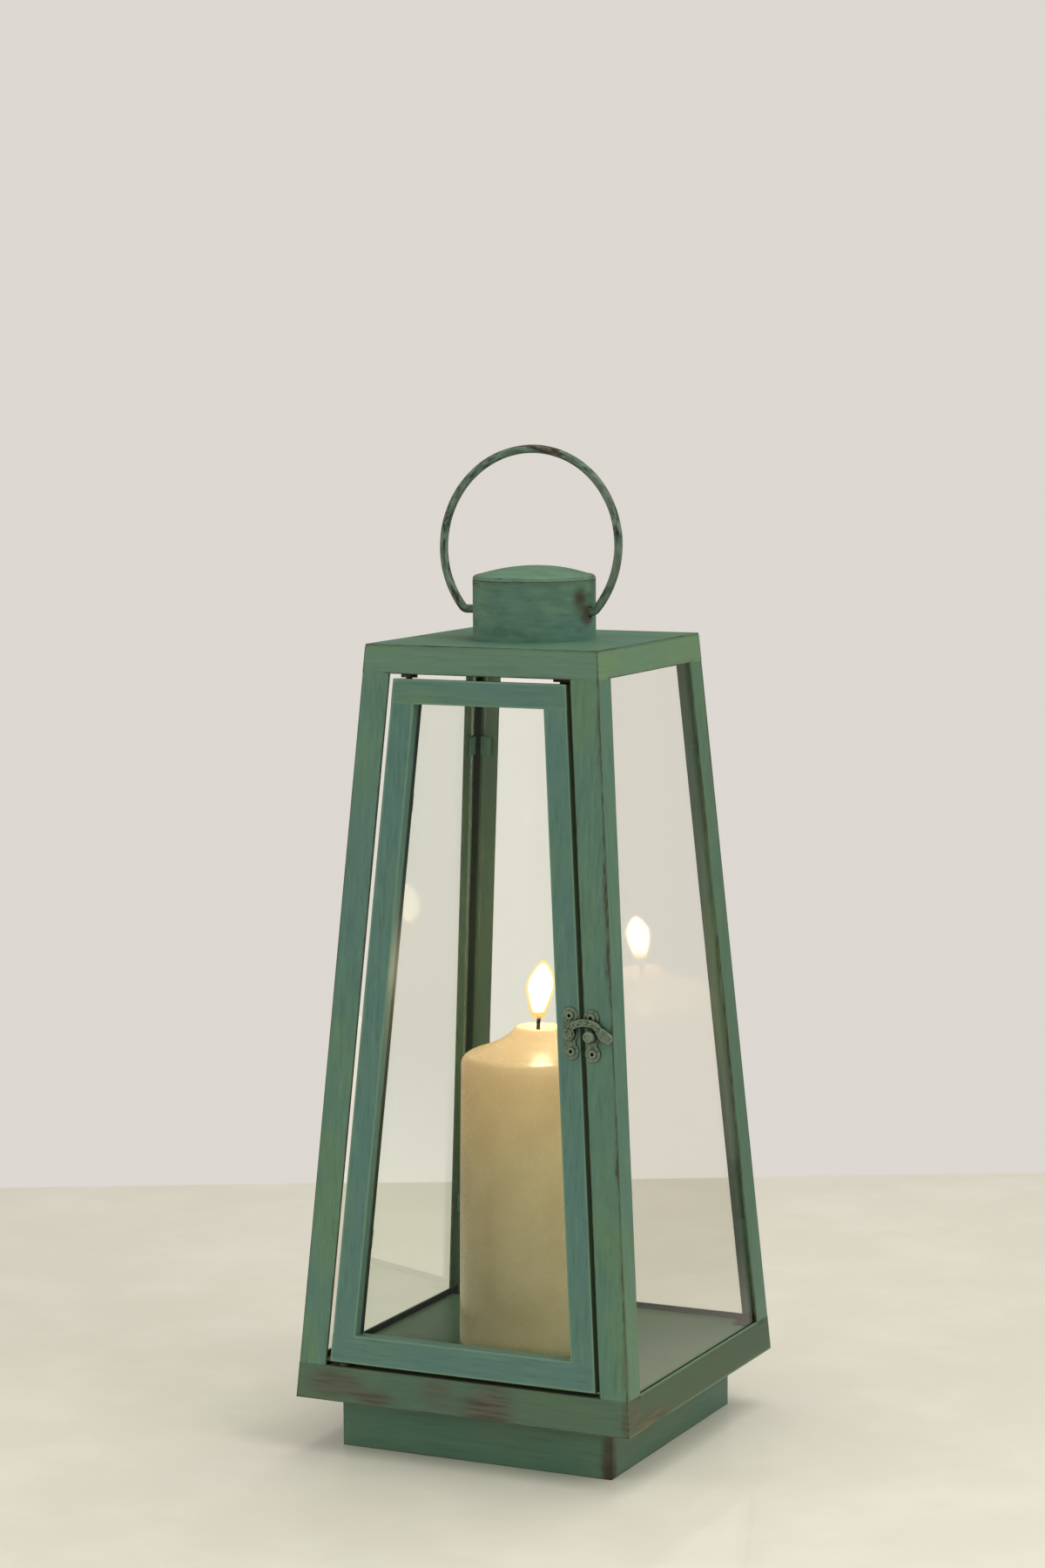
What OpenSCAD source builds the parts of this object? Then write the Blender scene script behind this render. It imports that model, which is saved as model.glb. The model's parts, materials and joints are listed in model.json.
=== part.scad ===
/* [Frame] */
// Width across the foot of the tapered frame
foot_w = 170.8; // [164:0.2:184]
// Width across the top of the tapered frame
top_w = 117.4; // [110:0.2:126]
// Height of the tapered frame
frame_h = 352.5; // [320:0.5:380]
// Thickness of the folded sheet
sheet = 1.2; // [0.9:0.1:1.5]
// Width of each flange of a corner post
post_w = 14; // [12:0.2:16]
// Height of the top rails
top_rail_h = 13.4; // [12:0.2:16]
// Height of the bottom rails
bottom_rail_h = 16.6; // [16:0.2:20]
// Depth of the folds above and below the door
lip_depth = 10; // [9.6:0.2:10.4]
// Clearance of those folds and of the door stop from what is beside them
fold_gap = 0.3; // [0.2:0.1:0.5]

/* [Plinth and floor] */
// Width of the plinth
plinth_w = 138.6; // [130:0.2:144]
// Height of the plinth below the frame
plinth_h = 25.5; // [20:0.5:32]
// Width of the plinth's inward folds
plinth_fold = 10; // [7:0.5:14]
// How far the floor lies below the bottom rails' top edge
floor_drop = 2.4; // [2.2:0.1:3.6]
// Gap between the floor and the panes
floor_gap = 0.6; // [0.4:0.1:1.2]
// Size of the notch at each corner of the floor
floor_notch = 11; // [10:0.5:18]

/* [Glass] */
// Thickness of every pane
pane_t = 2; // [1.8:0.1:2.4]
// How far a frame pane reaches behind the posts and rails
pane_lap = 7; // [6:0.2:8]
// How far the door pane reaches behind the door's members
door_pane_lap = 5; // [4:0.2:5.6]
// Clearance of the frame panes from what they stand on and from their clips
pane_gap = 0.3; // [0.2:0.1:0.6]
// Thickness of a glass clip
clip_t = 0.8; // [0.6:0.1:1]
// Length of a glass clip along the pane's edge
clip_l = 9; // [6:0.5:12]
// How far a clip reaches over its pane
clip_reach = 4; // [3:0.2:5]
// Distance of the clips from the ends of the opening
clip_inset = 45; // [30:1:70]

/* [Door] */
// Gap between the door and the frame
door_gap = 2.1; // [1.9:0.1:2.6]
// Depth of the door's channels
door_depth = 9; // [8.6:0.2:9.6]
// Wall of the door's channels
door_wall = 1; // [0.8:0.1:1.2]
// Width of the door's stiles
stile_w = 11.7; // [11:0.1:13]
// Height of the door's top rail
door_top_h = 11.5; // [10:0.1:14]
// Height of the door's bottom rail
door_bottom_h = 13; // [11:0.1:16]
// Length of the door stop along the top gap
stop_l = 9.4; // [4:0.2:12]
// How far the door stop hangs behind the door
stop_drop = 4.6; // [3:0.2:5]

/* [Hinge] */
// Distance of the hinge pins from the door's left edge
hinge_inset = 6; // [5:0.1:9]
// Diameter of the hinge pins
hinge_pin_d = 3; // [2.6:0.1:3.4]
// Diameter of the hinge pins' heads
hinge_head_d = 5.2; // [4.6:0.1:6]
// Thickness of the hinge pins' heads
hinge_head_t = 1; // [0.6:0.1:1.2]
// Diameter of the hinge washers
washer_d = 7.6; // [6:0.1:7.8]
// Gap between a hinge washer and the door
washer_gap = 0.6; // [0.55:0.05:0.8]
// Radial clearance of the hinge pins
pin_fit = 0.06; // [0.03:0.01:0.1]

/* [Latch] */
// Height of the latch above the table
latch_z = 205.8; // [150:0.1:260]
// Distance of the latch plate's centre from the door's edge
latch_inset = 4.6; // [4.4:0.1:6]
// Distance of the keeper plate from the inner edge of its post
keeper_edge = 0.2; // [0:0.1:1]
// How far the keeper lies below the latch
keeper_drop = 1.4; // [0:0.1:2]
// Thickness of both latch plates
latch_plate_t = 0.8; // [0.6:0.1:1]
// Radius of the lobes of both plates
lobe_r = 3.7; // [3:0.1:4]
// Width of both plates between their lobes
waist_w = 4.6; // [3.6:0.1:5.6]
// Distance between the two rivets of a plate
rivet_pitch = 16.2; // [15:0.1:18]
// Diameter of the rivet heads
rivet_head_d = 3.8; // [3.4:0.1:4.2]
// Thickness of the rivet heads
rivet_head_t = 0.5; // [0.3:0.1:0.6]
// Diameter of the rivets' barrels
rivet_d = 2.4; // [2:0.1:2.6]
// Diameter of the hole through each rivet
rivet_hole_d = 1.3; // [1:0.1:1.5]
// Length of the rivets behind the sheet
rivet_tail = 1.2; // [0.8:0.1:2]
// Diameter of the keeper stud
stud_d = 5; // [4:0.1:5.4]
// How far the keeper stud stands out of its plate
stud_l = 5.4; // [4.6:0.1:6.4]
// Rounding of the keeper stud's end
stud_round = 1.2; // [0.6:0.1:1.6]
// Thickness of the hook
hook_t = 1.6; // [1.2:0.1:2]
// Width of the hook's arm
hook_w = 3.2; // [2.4:0.1:3.6]
// Radius of the hook's eye
hook_eye_r = 2.7; // [2.4:0.1:3]
// Rise of the hook's arch above its pivot
hook_rise = 4.9; // [4.6:0.1:7]
// Length of the hook's finger tab
finger_l = 3.1; // [2:0.1:6]
// How far the finger tab slopes down
finger_drop = 2.4; // [1:0.1:4]
// Width of the finger tab
finger_w = 4.8; // [3.6:0.1:5.2]
// Diameter of the hook's pivot
pivot_d = 2.4; // [2:0.1:2.6]
// Diameter of the pivot's head
pivot_head_d = 4.2; // [3.8:0.1:4.8]
// Thickness of the pivot's head
pivot_head_t = 0.9; // [0.6:0.1:1.2]
// Radial clearance of the hook on its pivot
pivot_fit = 0.05; // [0.03:0.01:0.1]
// Clearance between the hook and what it passes
hook_gap = 0.3; // [0.25:0.05:0.4]

/* [Chimney] */
// Diameter of the chimney
chimney_d = 57.7; // [52:0.1:62]
// Height of the chimney's wall
chimney_h = 27.8; // [24:0.2:34]
// Rounding of the cap's edge
cap_edge = 2; // [1.6:0.1:3]
// Rise of the cap's dome
cap_rise = 4.4; // [3:0.1:8]
// Depth of the cap's collar inside the chimney
cap_collar = 4; // [3:0.2:6]
// Radial clearance of the cap's collar
cap_fit = 0.05; // [0.03:0.01:0.1]
// Diameter of the vent hole in the roof
vent_d = 36; // [24:0.5:44]

/* [Handle] */
// Radius of the ring handle at the middle of its wire
ring_r = 45.2; // [42:0.1:48]
// Diameter of the ring handle's wire
wire_d = 4; // [3.4:0.1:4.4]
// Radius of the bends at the ends of the wire
bend_r = 3.5; // [3:0.1:4]
// Swelling of the wire in its bends
bend_swell = 0.1; // [0.06:0.01:0.2]
// Distance from the chimney to the bends
bend_gap = 3.2; // [3:0.1:4]
// How far the wire's ends reach inside the chimney
ring_grip = 6; // [5:0.1:8]
// Height of the ring's holes above the roof
ring_hole_z = 13; // [12.6:0.1:16]
// Diameter of the ring's holes
ring_hole_d = 5.2; // [5:0.1:6]
// How far the ring lies to the left in its holes
ring_shift = 2.9; // [0:0.1:2.9]
// Angle that the ring leans back
ring_lean = 4; // [0:0.5:8]

/* [Candle] */
// Diameter of the candle
candle_d = 75; // [60:0.5:80]
// Height of the candle to its shoulder
shoulder_h = 138; // [100:0.5:180]
// Rise of the candle's top from its shoulder to its neck
neck_rise = 13.8; // [10:0.1:20]
// Diameter of the candle's neck
neck_d = 22; // [20:0.5:28]
// Depth of the melted pool
pool_depth = 2.6; // [1.6:0.1:4]
// Distance of the candle to the left of the middle
candle_left = 3.8; // [0:0.1:12]
// Distance of the candle behind the middle
candle_back = 10.4; // [0:0.2:24]
// Gap between the candle and the floor
candle_gap = 0.3; // [0.2:0.05:0.4]
// Diameter of the wick
wick_d = 2.2; // [1.6:0.1:2.6]
// Length of wick above the melted pool
wick_l = 7.6; // [5:0.1:10]
// Depth of the wick's lower end above the candle's foot
wick_foot = 6; // [4:0.5:12]
// Radial clearance of the wick
wick_fit = 0.05; // [0.03:0.01:0.1]

/* [Hidden] */
$fn = 96;
paint = "#4f7a70";
patina = "#7d8f84";
clear_glass = [0.85, 0.92, 0.9, 0.35];
wax = "#efe2c4";
char = "#2a2320";

FRONT = 0;
RIGHT = 90;
REAR = 180;
LEFT = 270;

foot_half = foot_w / 2;
top_half = top_w / 2;
plinth_half = plinth_w / 2;
lean = atan((foot_half - top_half) / frame_h);
slope_l = frame_h / cos(lean);
edge_tilt = atan((foot_half - top_half) / slope_l);
roof_z = plinth_h + frame_h;

opening_low = bottom_rail_h / cos(lean);
opening_high = slope_l - top_rail_h / cos(lean);
floor_z = plinth_h + bottom_rail_h - floor_drop;

pane_n = -sheet - pane_t;
pane_inset = post_w - pane_lap;
pane_low = (sheet + pane_gap) / cos(lean) + (sheet + pane_t) * tan(lean);
pane_high = opening_high + pane_lap;

door_inset = post_w + door_gap;
door_low = opening_low + door_gap;
door_high = opening_high - door_gap;
stile_low = door_low + door_bottom_h;
stile_high = door_high - door_top_h;
hinge_n = -door_depth / 2;
hinge_in = door_inset + hinge_inset;
pin_r = hinge_pin_d / 2;

latch_v = (latch_z - plinth_h) / cos(lean);
latch_in = door_inset + latch_inset;
keeper_in = post_w - lobe_r - keeper_edge;
latch_span = (latch_in - keeper_in) * cos(edge_tilt);
hook_n = latch_plate_t + rivet_head_t + hook_gap;
nose_x = norm([latch_span, keeper_drop]) + stud_d / 2 + hook_gap + hook_w / 2;

chimney_r = chimney_d / 2;
ring_z = roof_z + ring_hole_z;
bend_x = chimney_r + bend_gap;
ring_open = acos(bend_x / (ring_r - bend_r));
ring_mid = (ring_r - bend_r) * sin(ring_open) + bend_r;

candle_z = floor_z + candle_gap;
pool_z = shoulder_h + neck_rise - pool_depth;

// Half the width of a face at a distance v up its slope
function half_width(v) = foot_half - v * (foot_half - top_half) / slope_l;

// Points of a circle's arc
function arc(x, y, r, from, to, steps) =
    [for (i = [0:steps]) let (a = from + (to - from) * i / steps) [x + r * cos(a), y + r * sin(a)]];

// Outline of a band along a path, with round ends
function band(path, w) =
    let (
        n = len(path) - 1,
        way = [for (i = [0:n]) path[min(i + 1, n)] - path[max(i - 1, 0)]],
        side = [for (d = way) [d[1], -d[0]] * w / 2 / norm(d)],
        start = atan2(way[0][1], way[0][0]),
        end = atan2(way[n][1], way[n][0])
    )
    concat(
        arc(path[0][0], path[0][1], w / 2, start + 90, start + 270, 8),
        [for (i = [1:1:n - 1]) path[i] + side[i]],
        arc(path[n][0], path[n][1], w / 2, end - 90, end + 90, 8),
        [for (i = [n - 1:-1:1]) path[i] - side[i]]
    );

// Height of the cap's dome above its edge at a radius
function dome(r) = let (c = chimney_r - cap_edge, s = (c * c + cap_rise * cap_rise) / (2 * cap_rise))
    sqrt(s * s - r * r) - s + cap_rise;

// Puts a drawing on a sloping face: x across it, y up its slope and z out of it
module on_face(turn) {
    rotate([0, 0, turn])
        translate([0, -foot_half, plinth_h])
            rotate([90 - lean, 0, 0])
                children();
}

// A flat shape in a face's plane, from one depth to another
module slab(back, front) {
    translate([0, 0, back])
        linear_extrude(front - back)
            children();
}

// A part of a face between two heights, as far in from both of its sloping edges
module trapezoid(inset, low, high) {
    a = half_width(low) - inset;
    b = half_width(high) - inset;
    polygon([[-a, low], [a, low], [b, high], [-b, high]]);
}

// A strip along one sloping edge of a face
module side_strip(side, outer, inner, low, high) {
    a = half_width(low);
    b = half_width(high);
    polygon([
        [side * (a - outer), low], [side * (a - inner), low],
        [side * (b - inner), high], [side * (b - outer), high]
    ]);
}

// The quarter of the frame that belongs to one face, up to the roof
module quarter(turn) {
    rotate([0, 0, turn])
        translate([0, 0, plinth_h])
            linear_extrude(frame_h - sheet)
                polygon([[0, 0], [-foot_w, -foot_w], [foot_w, -foot_w]]);
}

// Sheet metal in a face's plane, mitred at the corners of the frame
module face_sheet(turn) {
    intersection() {
        quarter(turn);
        on_face(turn)
            slab(-sheet, 0)
                children();
    }
}

// Places a piece on the hinge's line, at a height up the front
module on_hinge(v) {
    on_face(FRONT)
        translate([-(half_width(v) - hinge_in), v, hinge_n])
            children();
}

// A round bar along the hinge's line
module hinge_bar(v, r, below, above) {
    on_hinge(v)
        rotate([0, 0, -edge_tilt])
            rotate([-90, 0, 0])
                translate([0, 0, -below])
                    cylinder(r = r, h = below + above);
}

// Places a piece at the latch's pivot, square to the stile
module at_latch() {
    on_face(FRONT)
        translate([half_width(latch_v) - latch_in, latch_v, 0])
            rotate([0, 0, edge_tilt])
                children();
}

// Places a piece at the keeper stud, a little below the latch's pivot
module at_keeper() {
    at_latch()
        translate([latch_span, -keeper_drop, 0])
            children();
}

// Both rivet places of a latch plate
module at_rivets() {
    for (side = [-1, 1])
        translate([0, side * rivet_pitch / 2, 0])
            children();
}

// Holes that the rivets and the middle pin of a latch plate pass through
module latch_holes() {
    at_rivets()
        translate([0, 0, -post_w / 2])
            cylinder(d = rivet_d, h = post_w);
    translate([0, 0, -post_w / 2])
        cylinder(d = pivot_d, h = post_w);
}

// A folded corner post: a flange on each of two faces, from rail to rail
module post(left_face, right_face) {
    union() {
        face_sheet(left_face)
            side_strip(1, -sheet, post_w, opening_low, opening_high);
        face_sheet(right_face)
            side_strip(-1, -sheet, post_w, opening_low, opening_high);
    }
}

module front_left_post() {
    color(paint)
        post(LEFT, FRONT);
}

module front_right_post() {
    color(paint)
        difference() {
            post(FRONT, RIGHT);
            at_keeper()
                latch_holes();
        }
}

module rear_right_post() {
    color(paint)
        post(RIGHT, REAR);
}

module rear_left_post() {
    color(paint)
        post(REAR, LEFT);
}

// A top rail, which ends under the roof plate
module top_rail(turn) {
    face_sheet(turn)
        trapezoid(-sheet, opening_high, slope_l + sheet);
}

// A bottom rail with the fold that closes the frame against the plinth
module bottom_rail(turn) {
    face_sheet(turn)
        trapezoid(-sheet, -sheet, opening_low);
    intersection() {
        quarter(turn);
        rotate([0, 0, turn])
            translate([-foot_half, -foot_half + sheet / 2, plinth_h])
                cube([foot_w, foot_half - sheet / 2 - plinth_half, sheet]);
    }
}

// A fold that runs inwards from the front, between the posts
module lip(low, high) {
    on_face(FRONT)
        slab(-lip_depth, -sheet / 2)
            trapezoid(post_w + fold_gap, low, high);
}

module front_top_rail() {
    color(paint)
        difference() {
            union() {
                top_rail(FRONT);
                lip(opening_high, opening_high + sheet);
            }
            hinge_bar(opening_high, pin_r, sheet, 2 * sheet);
        }
}

module front_bottom_rail() {
    color(paint)
        difference() {
            union() {
                bottom_rail(FRONT);
                lip(opening_low - sheet, opening_low);
            }
            hinge_bar(opening_low, pin_r, 2 * sheet, sheet);
        }
}

module right_top_rail() {
    color(paint)
        top_rail(RIGHT);
}

module rear_top_rail() {
    color(paint)
        top_rail(REAR);
}

module left_top_rail() {
    color(paint)
        top_rail(LEFT);
}

module right_bottom_rail() {
    color(paint)
        bottom_rail(RIGHT);
}

module rear_bottom_rail() {
    color(paint)
        bottom_rail(REAR);
}

module left_bottom_rail() {
    color(paint)
        bottom_rail(LEFT);
}

// A square box standing on the table, centred
module square_box(half, low, high) {
    translate([-half, -half, low])
        cube([2 * half, 2 * half, high - low]);
}

// The plinth: folded walls that carry the floor, with folds at the top and the foot
module plinth() {
    top = floor_z - sheet;
    color(paint)
        difference() {
            square_box(plinth_half, 0, top);
            square_box(plinth_half - sheet, sheet, top - sheet);
            square_box(plinth_half - plinth_fold, -sheet, top + sheet);
        }
}

// The floor: a flat plate between the panes, notched round the posts
module floor_plate() {
    pane_face = half_width((floor_z - plinth_h) / cos(lean)) + pane_n / cos(lean);
    side = pane_face - floor_gap;
    front = pane_face - pane_n - lip_depth - floor_gap;
    color(paint)
        difference() {
            translate([-side, -front, floor_z - sheet])
                cube([2 * side, front + side, sheet]);
            for (x = [-1, 1], y = [-1, 1])
                translate([x * side, y * side, floor_z])
                    cube([2 * floor_notch, 2 * floor_notch, 4 * sheet], center = true);
        }
}

module roof_plate() {
    color(paint)
        difference() {
            square_box(top_half, roof_z - sheet, roof_z);
            translate([0, 0, roof_z - 2 * sheet])
                cylinder(d = vent_d, h = 4 * sheet);
        }
}

module chimney_tube() {
    color(paint)
        translate([0, 0, roof_z])
            difference() {
                cylinder(r = chimney_r, h = chimney_h);
                translate([0, 0, -sheet])
                    cylinder(r = chimney_r - sheet, h = chimney_h + 2 * sheet);
                translate([-chimney_d, 0, ring_hole_z])
                    rotate([0, 90, 0])
                        cylinder(d = ring_hole_d, h = 2 * chimney_d);
            }
}

// The cap: a dome with a rounded edge on the chimney and a collar inside it
module chimney_cap() {
    collar_r = chimney_r - sheet - cap_fit;
    inner_r = collar_r - sheet;
    steps = 24;
    outline = concat(
        arc(chimney_r - cap_edge, 0, cap_edge, 0, 90, 8),
        [for (i = [1:steps]) let (r = (chimney_r - cap_edge) * (1 - i / steps)) [r, cap_edge + dome(r)]],
        [for (i = [0:steps]) let (r = inner_r * i / steps) [r, cap_edge + dome(r) - sheet]],
        [[inner_r, -cap_collar], [collar_r, -cap_collar], [collar_r, 0]]
    );
    color(paint)
        translate([0, 0, roof_z + chimney_h])
            rotate_extrude()
                polygon(outline);
}

// One end of the ring: the tight bend, a hair thicker, and the straight end inside the chimney
module ring_end() {
    overlap = 5;
    translate([bend_x, bend_r, 0])
        rotate([0, 0, -90])
            rotate_extrude(angle = 90 - ring_open + overlap)
                translate([bend_r, 0])
                    circle(d = wire_d + bend_swell);
    translate([chimney_r - ring_grip, 0, 0])
        rotate([0, 90, 0])
            cylinder(d = wire_d, h = bend_x - chimney_r + ring_grip + bend_swell);
}

// The ring handle, bent from one wire, in the plane of its joint at rest
module ring_handle() {
    color(patina)
        translate([-ring_shift, 0, ring_z])
            rotate([90 - ring_lean, 0, 0]) {
                translate([0, ring_mid, 0])
                    rotate([0, 0, -ring_open])
                        rotate_extrude(angle = 180 + 2 * ring_open)
                            translate([ring_r, 0])
                                circle(d = wire_d);
                ring_end();
                mirror([1, 0, 0])
                    ring_end();
            }
}

// A pane behind the posts and rails of one face
module frame_glass(turn) {
    color(clear_glass)
        on_face(turn)
            slab(pane_n, -sheet)
                trapezoid(pane_inset, pane_low, pane_high);
}

module right_glass() {
    frame_glass(RIGHT);
}

module rear_glass() {
    frame_glass(REAR);
}

module left_glass() {
    frame_glass(LEFT);
}

// A bent clip: a leg beside the pane's edge and a tongue over the pane
// The leg's outer side lies at x = 0, on what carries it, from root down to the tongue
module clip(root, pane_back, tongue_l) {
    translate([0, -clip_l / 2, 0]) {
        translate([-clip_t, 0, pane_back - clip_t])
            cube([clip_t, clip_l, root - pane_back + clip_t]);
        translate([-tongue_l, 0, pane_back - clip_t])
            cube([tongue_l, clip_l, clip_t]);
    }
}

// Places a clip at one sloping edge of a face
module at_edge(side, inset, v) {
    translate([side * (half_width(v) - inset), v, 0])
        mirror([side < 0 ? 1 : 0, 0, 0])
            rotate([0, 0, edge_tilt])
                children();
}

// The four clips that hold one pane of the frame
module frame_clips(turn) {
    leg_inset = pane_inset - clip_t - pane_gap;
    color(paint)
        on_face(turn)
            for (side = [-1, 1], v = [opening_low + clip_inset, opening_high - clip_inset])
                at_edge(side, leg_inset, v)
                    clip(-sheet, pane_n, clip_t + pane_gap + clip_reach);
}

module right_glass_clips() {
    frame_clips(RIGHT);
}

module rear_glass_clips() {
    frame_clips(REAR);
}

module left_glass_clips() {
    frame_clips(LEFT);
}

// A hinge pin with its head against a lip; toward is 1 for a head above and -1 for one below
module hinge_pin(v, toward, rail_h) {
    reach = door_gap + rail_h + door_wall;
    hinge_bar(v, pin_r, toward > 0 ? reach : sheet, toward > 0 ? sheet : reach);
    on_hinge(v + toward * (sheet + hinge_head_t / 2))
        rotate([90, 0, 0])
            cylinder(d = hinge_head_d, h = hinge_head_t, center = true);
}

module hinge_pins() {
    color(patina) {
        hinge_pin(opening_high, 1, door_top_h);
        hinge_pin(opening_low, -1, door_bottom_h);
    }
}

// The washers between the door and the lips
module hinge_washers() {
    t = door_gap - washer_gap;
    color(patina)
        for (side = [-1, 1]) {
            v = side > 0 ? opening_high - t / 2 : opening_low + t / 2;
            difference() {
                on_hinge(v)
                    rotate([90, 0, 0])
                        cylinder(d = washer_d, h = t, center = true);
                hinge_bar(v, pin_r + pin_fit, door_gap, door_gap);
            }
        }
}

// The door stop: a tab under the upper lip, with a leg behind the door
module door_stop() {
    inner = post_w + stop_l;
    leg_front = -door_depth - fold_gap;
    color(patina)
        on_face(FRONT) {
            slab(leg_front - sheet, -2 * sheet)
                side_strip(1, post_w + fold_gap, inner, opening_high - sheet, opening_high);
            slab(leg_front - sheet, leg_front)
                side_strip(1, post_w + fold_gap, inner, door_high - stop_drop, opening_high);
        }
}

// A plate with a round lobe at each rivet and one in the middle
module lobed_plate() {
    color(patina)
        difference() {
            linear_extrude(latch_plate_t) {
                circle(r = lobe_r);
                at_rivets()
                    circle(r = lobe_r);
                square([waist_w, rivet_pitch], center = true);
            }
            latch_holes();
        }
}

// The two hollow rivets of a plate
module hollow_rivets(through) {
    behind = through + rivet_tail;
    color(patina)
        at_rivets()
            difference() {
                union() {
                    translate([0, 0, latch_plate_t])
                        cylinder(d = rivet_head_d, h = rivet_head_t);
                    translate([0, 0, -behind])
                        cylinder(d = rivet_d, h = behind + latch_plate_t);
                }
                cylinder(d = rivet_hole_d, h = 4 * behind, center = true);
            }
}

module keeper_plate() {
    at_keeper()
        lobed_plate();
}

module keeper_rivets() {
    at_keeper()
        hollow_rivets(sheet);
}

// The keeper stud: a straight stud with a rounded end, riveted through its plate
module keeper_stud() {
    straight = stud_l - stud_round;
    color(patina)
        at_keeper() {
            translate([0, 0, latch_plate_t])
                rotate_extrude()
                    polygon(concat(
                        [[0, 0], [stud_d / 2, 0]],
                        arc(stud_d / 2 - stud_round, straight, stud_round, 0, 90, 8),
                        [[0, stud_l]]
                    ));
            translate([0, 0, -sheet - rivet_tail])
                cylinder(d = pivot_d, h = sheet + rivet_tail + latch_plate_t);
        }
}

// A rail of the door: a shallow folded tray, open at the back
module door_rail(low, high) {
    on_face(FRONT)
        difference() {
            slab(-door_depth, 0)
                trapezoid(door_inset, low, high);
            slab(-2 * door_depth, -door_wall)
                trapezoid(door_inset + door_wall, low + door_wall, high - door_wall);
        }
}

module door_top_rail() {
    color(paint)
        difference() {
            door_rail(stile_high, door_high);
            hinge_bar(door_high, pin_r + pin_fit, 2 * door_top_h, door_gap);
        }
}

module door_bottom_rail() {
    color(paint)
        difference() {
            door_rail(door_low, stile_low);
            hinge_bar(door_low, pin_r + pin_fit, door_gap, 2 * door_bottom_h);
        }
}

// A stile of the door: a channel between the rails, open at the back
module stile(side) {
    outer = door_inset;
    inner = door_inset + stile_w;
    t = door_wall;
    on_face(FRONT)
        difference() {
            slab(-door_depth, 0)
                side_strip(side, outer, inner, stile_low, stile_high);
            slab(-2 * door_depth, -t)
                side_strip(side, outer + t, inner - t, stile_low - t, stile_high + t);
        }
}

module door_left_stile() {
    color(paint)
        stile(-1);
}

module door_right_stile() {
    color(paint)
        difference() {
            stile(1);
            at_latch()
                latch_holes();
        }
}

module door_glass() {
    inset = door_inset + stile_w - door_pane_lap;
    color(clear_glass)
        on_face(FRONT)
            slab(-door_depth - pane_t, -door_depth)
                trapezoid(inset, stile_low - door_pane_lap, stile_high + door_pane_lap);
}

// The four clips that hold the door's pane, fixed inside the outer walls of the stiles
module door_glass_clips() {
    leg_inset = door_inset + door_wall / cos(edge_tilt);
    tongue = stile_w - door_wall - door_pane_lap + clip_reach;
    color(paint)
        on_face(FRONT)
            for (side = [-1, 1], v = [stile_low + clip_inset, stile_high - clip_inset])
                at_edge(side, leg_inset, v)
                    clip(-door_depth / 2, -door_depth - pane_t, tongue);
}

module latch_plate() {
    at_latch()
        lobed_plate();
}

module latch_rivets() {
    at_latch()
        hollow_rivets(door_wall);
}

// The pivot: a shoulder under the hook, a shank through it and a head over it
module latch_pivot() {
    shoulder_top = hook_n - hook_gap;
    head_z = hook_n + hook_t + hook_gap;
    color(patina)
        at_latch() {
            translate([0, 0, -door_wall - rivet_tail])
                cylinder(d = pivot_d, h = head_z + door_wall + rivet_tail);
            translate([0, 0, latch_plate_t])
                cylinder(d = pivot_head_d, h = shoulder_top - latch_plate_t);
            translate([0, 0, head_z])
                cylinder(d = pivot_head_d, h = pivot_head_t);
        }
}

// The hook: an arch from its eye, over the stud, to a nose and a finger tab
module latch_hook() {
    steps = 10;
    squareness = 0.9;
    half = nose_x / 2;
    arch = [for (i = [0:steps]) let (a = 180 - 180 * i / steps, c = cos(a))
        [half + half * sign(c) * pow(abs(c), squareness), hook_rise * pow(abs(sin(a)), squareness)]];
    knuckle = [nose_x + (finger_w - hook_w) / 2, 0];
    finger = [knuckle, knuckle + [finger_l, -finger_drop]];
    color(patina)
        at_latch()
            translate([0, 0, hook_n])
                difference() {
                    linear_extrude(hook_t) {
                        circle(r = hook_eye_r);
                        polygon(band(arch, hook_w));
                        polygon(band(finger, finger_w));
                    }
                    translate([0, 0, -hook_t])
                        cylinder(r = pivot_d / 2 + pivot_fit, h = 3 * hook_t);
                }
}

// The candle: a pressed pillar with a sloping top, a neck and a melted pool
module candle() {
    r = candle_d / 2;
    neck_r = neck_d / 2;
    bore_r = wick_d / 2 + wick_fit;
    foot = 1.2;
    edge = 2.4;
    lip = 1;
    hollowness = 1.6;
    steps = 16;
    pool_steps = 8;
    top = shoulder_h + neck_rise;
    pool_r = neck_r - 2 * lip;
    slope = [for (i = [0:steps]) let (t = i / steps)
        [r - edge - (r - edge - neck_r) * t, shoulder_h + (neck_rise - lip) * pow(t, hollowness)]];
    pool = [for (i = [1:pool_steps]) let (t = 1 - i / pool_steps)
        [bore_r + (pool_r - bore_r) * t, pool_z + (pool_depth - lip) * pow(t, 3)]];
    outline = concat(
        [[bore_r, 0], [r - foot, 0], [r, foot]],
        arc(r - edge, shoulder_h - edge, edge, 0, 80, 6),
        slope,
        arc(neck_r - lip, top - lip, lip, 20, 180, 8),
        pool
    );
    color(wax)
        translate([-candle_left, candle_back, candle_z])
            rotate_extrude()
                polygon(outline);
}

module wick() {
    color(char)
        translate([-candle_left, candle_back, candle_z + wick_foot])
            cylinder(d = wick_d, h = pool_z + wick_l - wick_foot);
}

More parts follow.
